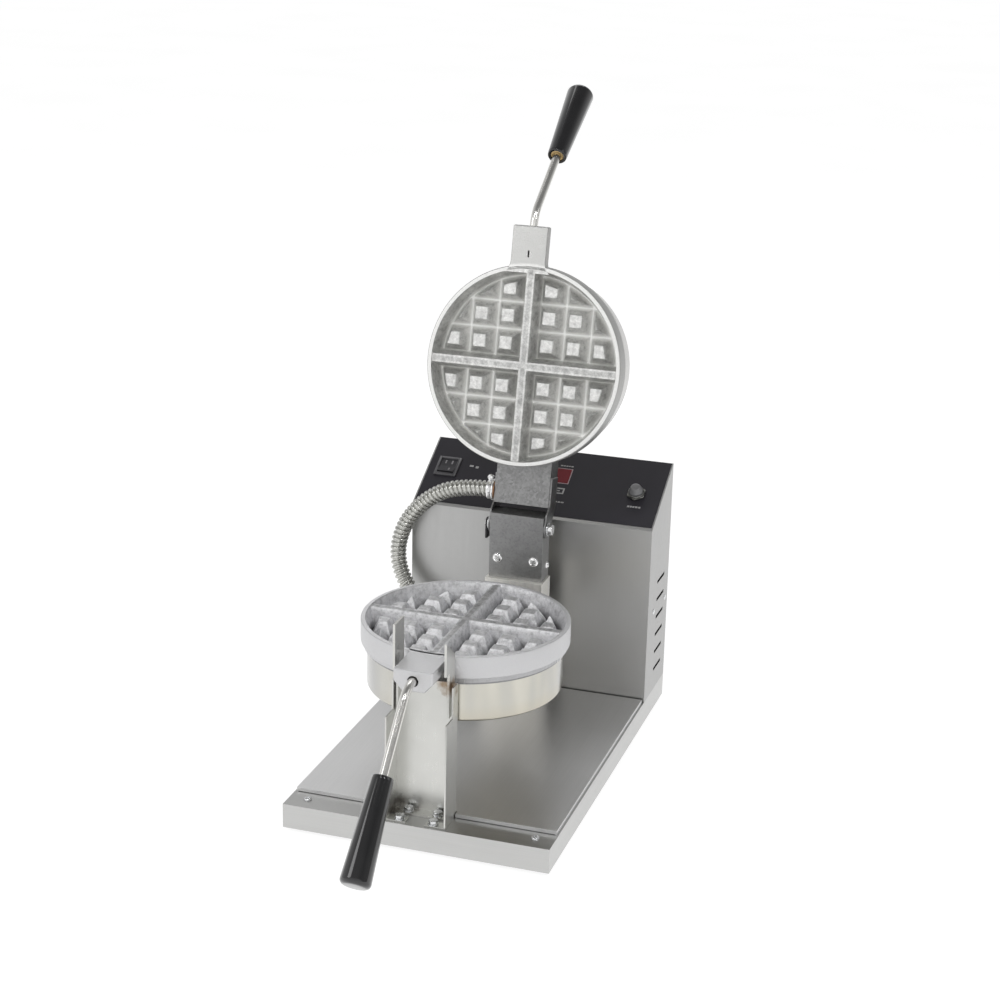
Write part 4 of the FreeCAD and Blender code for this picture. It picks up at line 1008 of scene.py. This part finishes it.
def build_panel():
    refined("control_overlay", "overlay_film", "film", "base", 0.12, 2)
    bm = bmesh.new()
    frame_ring(bm, WINDOW, 53.6, 21.3, 1.3, FILM - 0.1, FILM + 0.12, 0.05)
    finish_piece(bm, "window_outline", "outline", "panel", "base", (), smooth=None)
    refined("display_window", "window_lens", "red", "base", 0.25, 2)

    bm = bmesh.new()
    frame_ring(bm, SWITCH, 24, 26, 2.6, FILM + 0.02, 2.4, 0.5)
    frame_ring(bm, SWITCH, 19.2, 21.4, 0.5, -2.0, 3.1, 0.15)
    slab(bm, (SWITCH[0] - 10.5, SWITCH[0] + 10.5), (SWITCH[1] - 11.5, SWITCH[1] + 11.5), (-20, -9.2))
    finish_piece(bm, "power_switch_guard", "guard", "panel", "base", ("power_switch_body",),
                 smooth=30)
    refined("power_rocker", "rocker_cap", "rocker", "rocker", 0.3, 2)
    bm = bmesh.new()
    tilt = Matrix.Translation((*SWITCH, FILM)) @ Matrix.Rotation(math.radians(-8), 4, "X")
    for x, y, width, length in ((-3.4, 5.6, 1.5, 4.6), (3.6, 5.4, 1.7, 5.0), (3.0, -5.6, 1.6, 4.4)):
        lean = math.copysign(math.atan2(1.2, 9.6), y)
        at = tilt @ Matrix.Translation((x, y, 1.4 + abs(y) * 1.2 / 9.6)) @ Matrix.Rotation(lean, 4, "X")
        slab(bm, (-width / 2, width / 2), (-length / 2, length / 2), (-0.05, 0.08), 0, 2, at)
    finish_piece(bm, "rocker_marks", "faint", "panel", "rocker", (),
                 smooth=None)

    at = Matrix.Translation((*BUTTON, 0))
    blank = bmesh.new()
    corner = 17.6 / math.sqrt(3)
    outline = [(corner * math.cos(math.pi * (n / 3 + 0.5)), corner * math.sin(math.pi * (n / 3 + 0.5)))
               for n in range(6)]
    prism(blank, outline, FILM + 0.05, 3.0, 0.7, 2, at)
    bore = turned([(0, 0), (7.55, 0), (7.55, 4), (0, 4)], 56, at)
    bm = bmesh.new()
    bm.from_mesh(minus(blank, bore, "nut_blank"))
    rings = corner_arcs([(7.6, 2.6, 0), (8.6, 2.6, 0.3), (8.2, 4.6, 0.5), (7.6, 4.6, 0.2)], 3)
    absorb(bm, turned(rings, 56, at))
    finish_piece(bm, "start_button_nut", "nut", "panel", "base", ("start_button_bushing",),
                 smooth=35)
    rings = corner_arcs([(0, 3.9, 0), (7.2, 3.9, 0.3), (7.2, 6.4, 1.4), (5.4, 10.0, 1.6), (4.6, 11.6, 1.6),
                         (0, 11.6, 0)], 5)
    finish_piece(turned(rings, 56, at), "start_button_boot", "boot", "panel", "button", ("start_button",),
                 smooth=50)
    build_marks()


def build_marks():
    """Plain dashes and dots where a panel has its markings."""
    def dashes(bm, x, y, widths, height):
        for width in widths:
            slab(bm, (x, x + width), (y - height / 2, y + height / 2), (FILM - 0.05, FILM + 0.08))
            x += width + gap
    gap = 0.7
    bm = bmesh.new()
    dashes(bm, 12.5, 74, (2.6, 1.8, 2.2, 1.6, 2.6), 1.5)
    dashes(bm, 17, 23.7, (2.4, 1.8, 2.4, 3.2), 1.6)
    dashes(bm, 94.2, 29.3, (2.2, 1.8, 2.0, 2.6, 2.2), 2.2)
    dashes(bm, -82.4, 58.6, (4.2,), 2.4)
    dashes(bm, -75.6, 57.6, (3.2,), 3.0)
    frame_ring(bm, (20.5, 39), 9.4, 8.2, 1.5, FILM - 0.05, FILM + 0.08)
    slab(bm, (15.8, 20.5), (38.4, 39.6), (FILM - 0.05, FILM + 0.08))
    finish_piece(bm, "panel_marks", "mark", "panel", "base", (), smooth=None)


# ---- camera, light ----

def build_camera():
    azimuth, elevation, roll = map(math.radians, (AZIMUTH, ELEVATION, ROLL))
    right = Vector((math.cos(azimuth), math.sin(azimuth), 0))
    level = math.cos(elevation)
    back = Vector((math.sin(azimuth) * level, -math.cos(azimuth) * level, math.sin(elevation)))
    up = back.cross(right)
    rolled_right = right * math.cos(roll) + up * math.sin(roll)
    rolled_up = up * math.cos(roll) - right * math.sin(roll)
    lens = bpy.data.cameras.new("camera")
    lens.sensor_width, lens.lens = 36.0, LENS
    lens.clip_end = 100
    camera = bpy.data.objects.new("camera", lens)
    bpy.context.scene.collection.objects.link(camera)
    turn = Matrix((rolled_right, rolled_up, back)).transposed().to_4x4()
    spot = FRAMES["base"] @ (Vector(CAMERA_SPOT) * MM)
    camera.matrix_world = Matrix.Translation(spot) @ turn
    bpy.context.scene.camera = camera


def softbox(name, place, aim, width, height, power):
    lamp = bpy.data.lights.new(name, "AREA")
    lamp.shape, lamp.size, lamp.size_y, lamp.energy = "RECTANGLE", width, height, power
    holder = bpy.data.objects.new(name, lamp)
    bpy.context.scene.collection.objects.link(holder)
    holder.location = place
    holder.rotation_euler = (Vector(aim) - Vector(place)).to_track_quat("-Z", "Y").to_euler()


def build_world():
    """Studio surroundings: bright low in front, behind and on the left, dimmer overhead and on the right."""
    world = bpy.data.worlds.new("studio")
    bpy.context.scene.world = world
    world.use_nodes = True
    tree = world.node_tree
    coords = tree.nodes.new("ShaderNodeTexCoord").outputs["Generated"]

    def band(direction, start, end, low, high):
        lean = tree.nodes.new("ShaderNodeVectorMath")
        lean.operation = "DOT_PRODUCT"
        tree.links.new(coords, lean.inputs[0])
        lean.inputs[1].default_value = Vector(direction).normalized()
        spread = tree.nodes.new("ShaderNodeMapRange")
        spread.interpolation_type = "SMOOTHSTEP"
        tree.links.new(lean.outputs["Value"], spread.inputs["Value"])
        for socket, value in zip(("From Min", "From Max", "To Min", "To Max"), (start, end, low, high)):
            spread.inputs[socket].default_value = value
        return spread.outputs["Result"]

    def joined(operation, first, second):
        made = tree.nodes.new("ShaderNodeMath")
        made.operation = operation
        tree.links.new(first, made.inputs[0])
        tree.links.new(second, made.inputs[1])
        return made.outputs[0]
    around = joined("MAXIMUM", band((-1, 0, 0), 0.1, 0.55, 0.36, 0.74), band((0, -1, 0), 0.2, 0.7, 0.2, 0.92))
    across = joined("MAXIMUM", around, band((-0.25, 1, 0), 0.1, 0.75, 0.3, 0.66))
    level = joined("MULTIPLY", across, band((0, 0, 1), 0.3, 0.85, 1.0, 0.55))
    shade = tree.nodes["Background"]
    tree.links.new(level, shade.inputs["Strength"])
    shade.inputs["Color"].default_value = (1, 1, 1, 1)


def build_stage():
    bm = bmesh.new()
    slab(bm, (-20000, 20000), (-20000, 20000), (-20, 0))
    mesh = as_mesh(bm, "floor")
    mesh.transform(Matrix.Scale(MM, 4))
    MATERIALS["floor"] = floor_white("floor_white")
    mesh.materials.append(MATERIALS["floor"])
    floor = bpy.data.objects.new("floor", mesh)
    bpy.context.scene.collection.objects.link(floor)
    build_world()
    softbox("key_left", (-1.5, -1.5, 1.7), (0, 0, 0.25), 0.9, 0.9, 7)
    softbox("rim_right", (1.6, 0.3, 1.2), (0, 0, 0.25), 0.5, 1.2, 1.5)
    softbox("back_high", (-0.4, 1.5, 2.3), (0, 0, 0.2), 1.6, 0.9, 7)
    softbox("strip_right", (1.1, -0.6, 1.85), (0, -0.2, 0.2), 0.12, 0.5, 5)
    softbox("strip_left", (-0.2, -0.84, 2.05), (0, -0.2, 0.3), 0.06, 0.5, 3)
    bpy.context.scene.view_settings.view_transform = "Standard"


# ---- sheet metal and the rest ----

def build_sheet_metal():
    refined("base_pan", "base_pan_sheet", "pan", "base", 0.5, 3, edge="edge")
    refined("deck_plate", "deck_sheet", "deck", "base", 0.7, 2, edge="edge")
    refined("housing_shell", "housing_sheet", "housing", "base", 0.5, 3, edge="edge")
    refined("housing_rear_cover", "rear_cover_sheet", "housing", "base", 0.3, 2)
    refined("front_stand", "stand_sheet", "stand", "base", 0.45, 2, edge="edge")
    refined("rear_post", "post_sheet", "post", "base", 0.35, 2, edge="edge")
    refined("hinge_bracket", "bracket_sheet", "bracket", "base", 0.6, 2, edge="edge")
    refined("lower_arm_box", "lower_arm_sheet", "galvanised", "base", 0.3, 2, edge="edge")
    refined("upper_arm_box", "upper_arm_sheet", "galvanised", "lid", 0.6, 2, edge="edge")
    refined("bottom_cover", "bottom_cover_sheet", "galvanised", "base", 0.2, 1)
    refined("hinge_pin", "hinge_pin_headed", "bright", "base", 0.7, 3)
    refined("hinge_washers", "hinge_washer_pair", "zinc", "base", 0.25, 2)
    refined("pin_push_nut", "pin_clip", "black", "base", 0.5, 2)
    refined("inlet_gland", "inlet_gland_moulded", "black", "base", 0.6, 3)
    refined("rubber_feet", "rubber_feet_moulded", "rubber", "base", 0.8, 3)


CARRIED = {
    "zinc": ["feet_screws", "start_button_spring", "lower_sensor", "upper_sensor", "lower_centre_bolt",
             "upper_centre_bolt"],
    "black": ["buzzer", "power_relay"],
    "board": ["control_board", "display_module"], "brass": ["board_standoffs"], "core": ["transformer"],
    "nylon": ["terminal_block"], "wool": ["lower_insulation", "upper_insulation"],
    "mica": ["lower_heater", "upper_heater"], "galvanised": ["lower_clamp_plate", "upper_clamp_plate"],
}


def dress_carried_nodes():
    for key, nodes in CARRIED.items():
        for name in nodes:
            mesh = frame["nodes"][name].data
            mesh.materials.clear()
            mesh.materials.append(MATERIALS[key])


def main():
    build_camera()
    build_stage()
    build_conduit()
    dress_carried_nodes()
    build_sheet_metal()
    build_grids()
    build_shells()
    build_handles()
    build_screws()
    build_connectors()
    build_panel()


main()
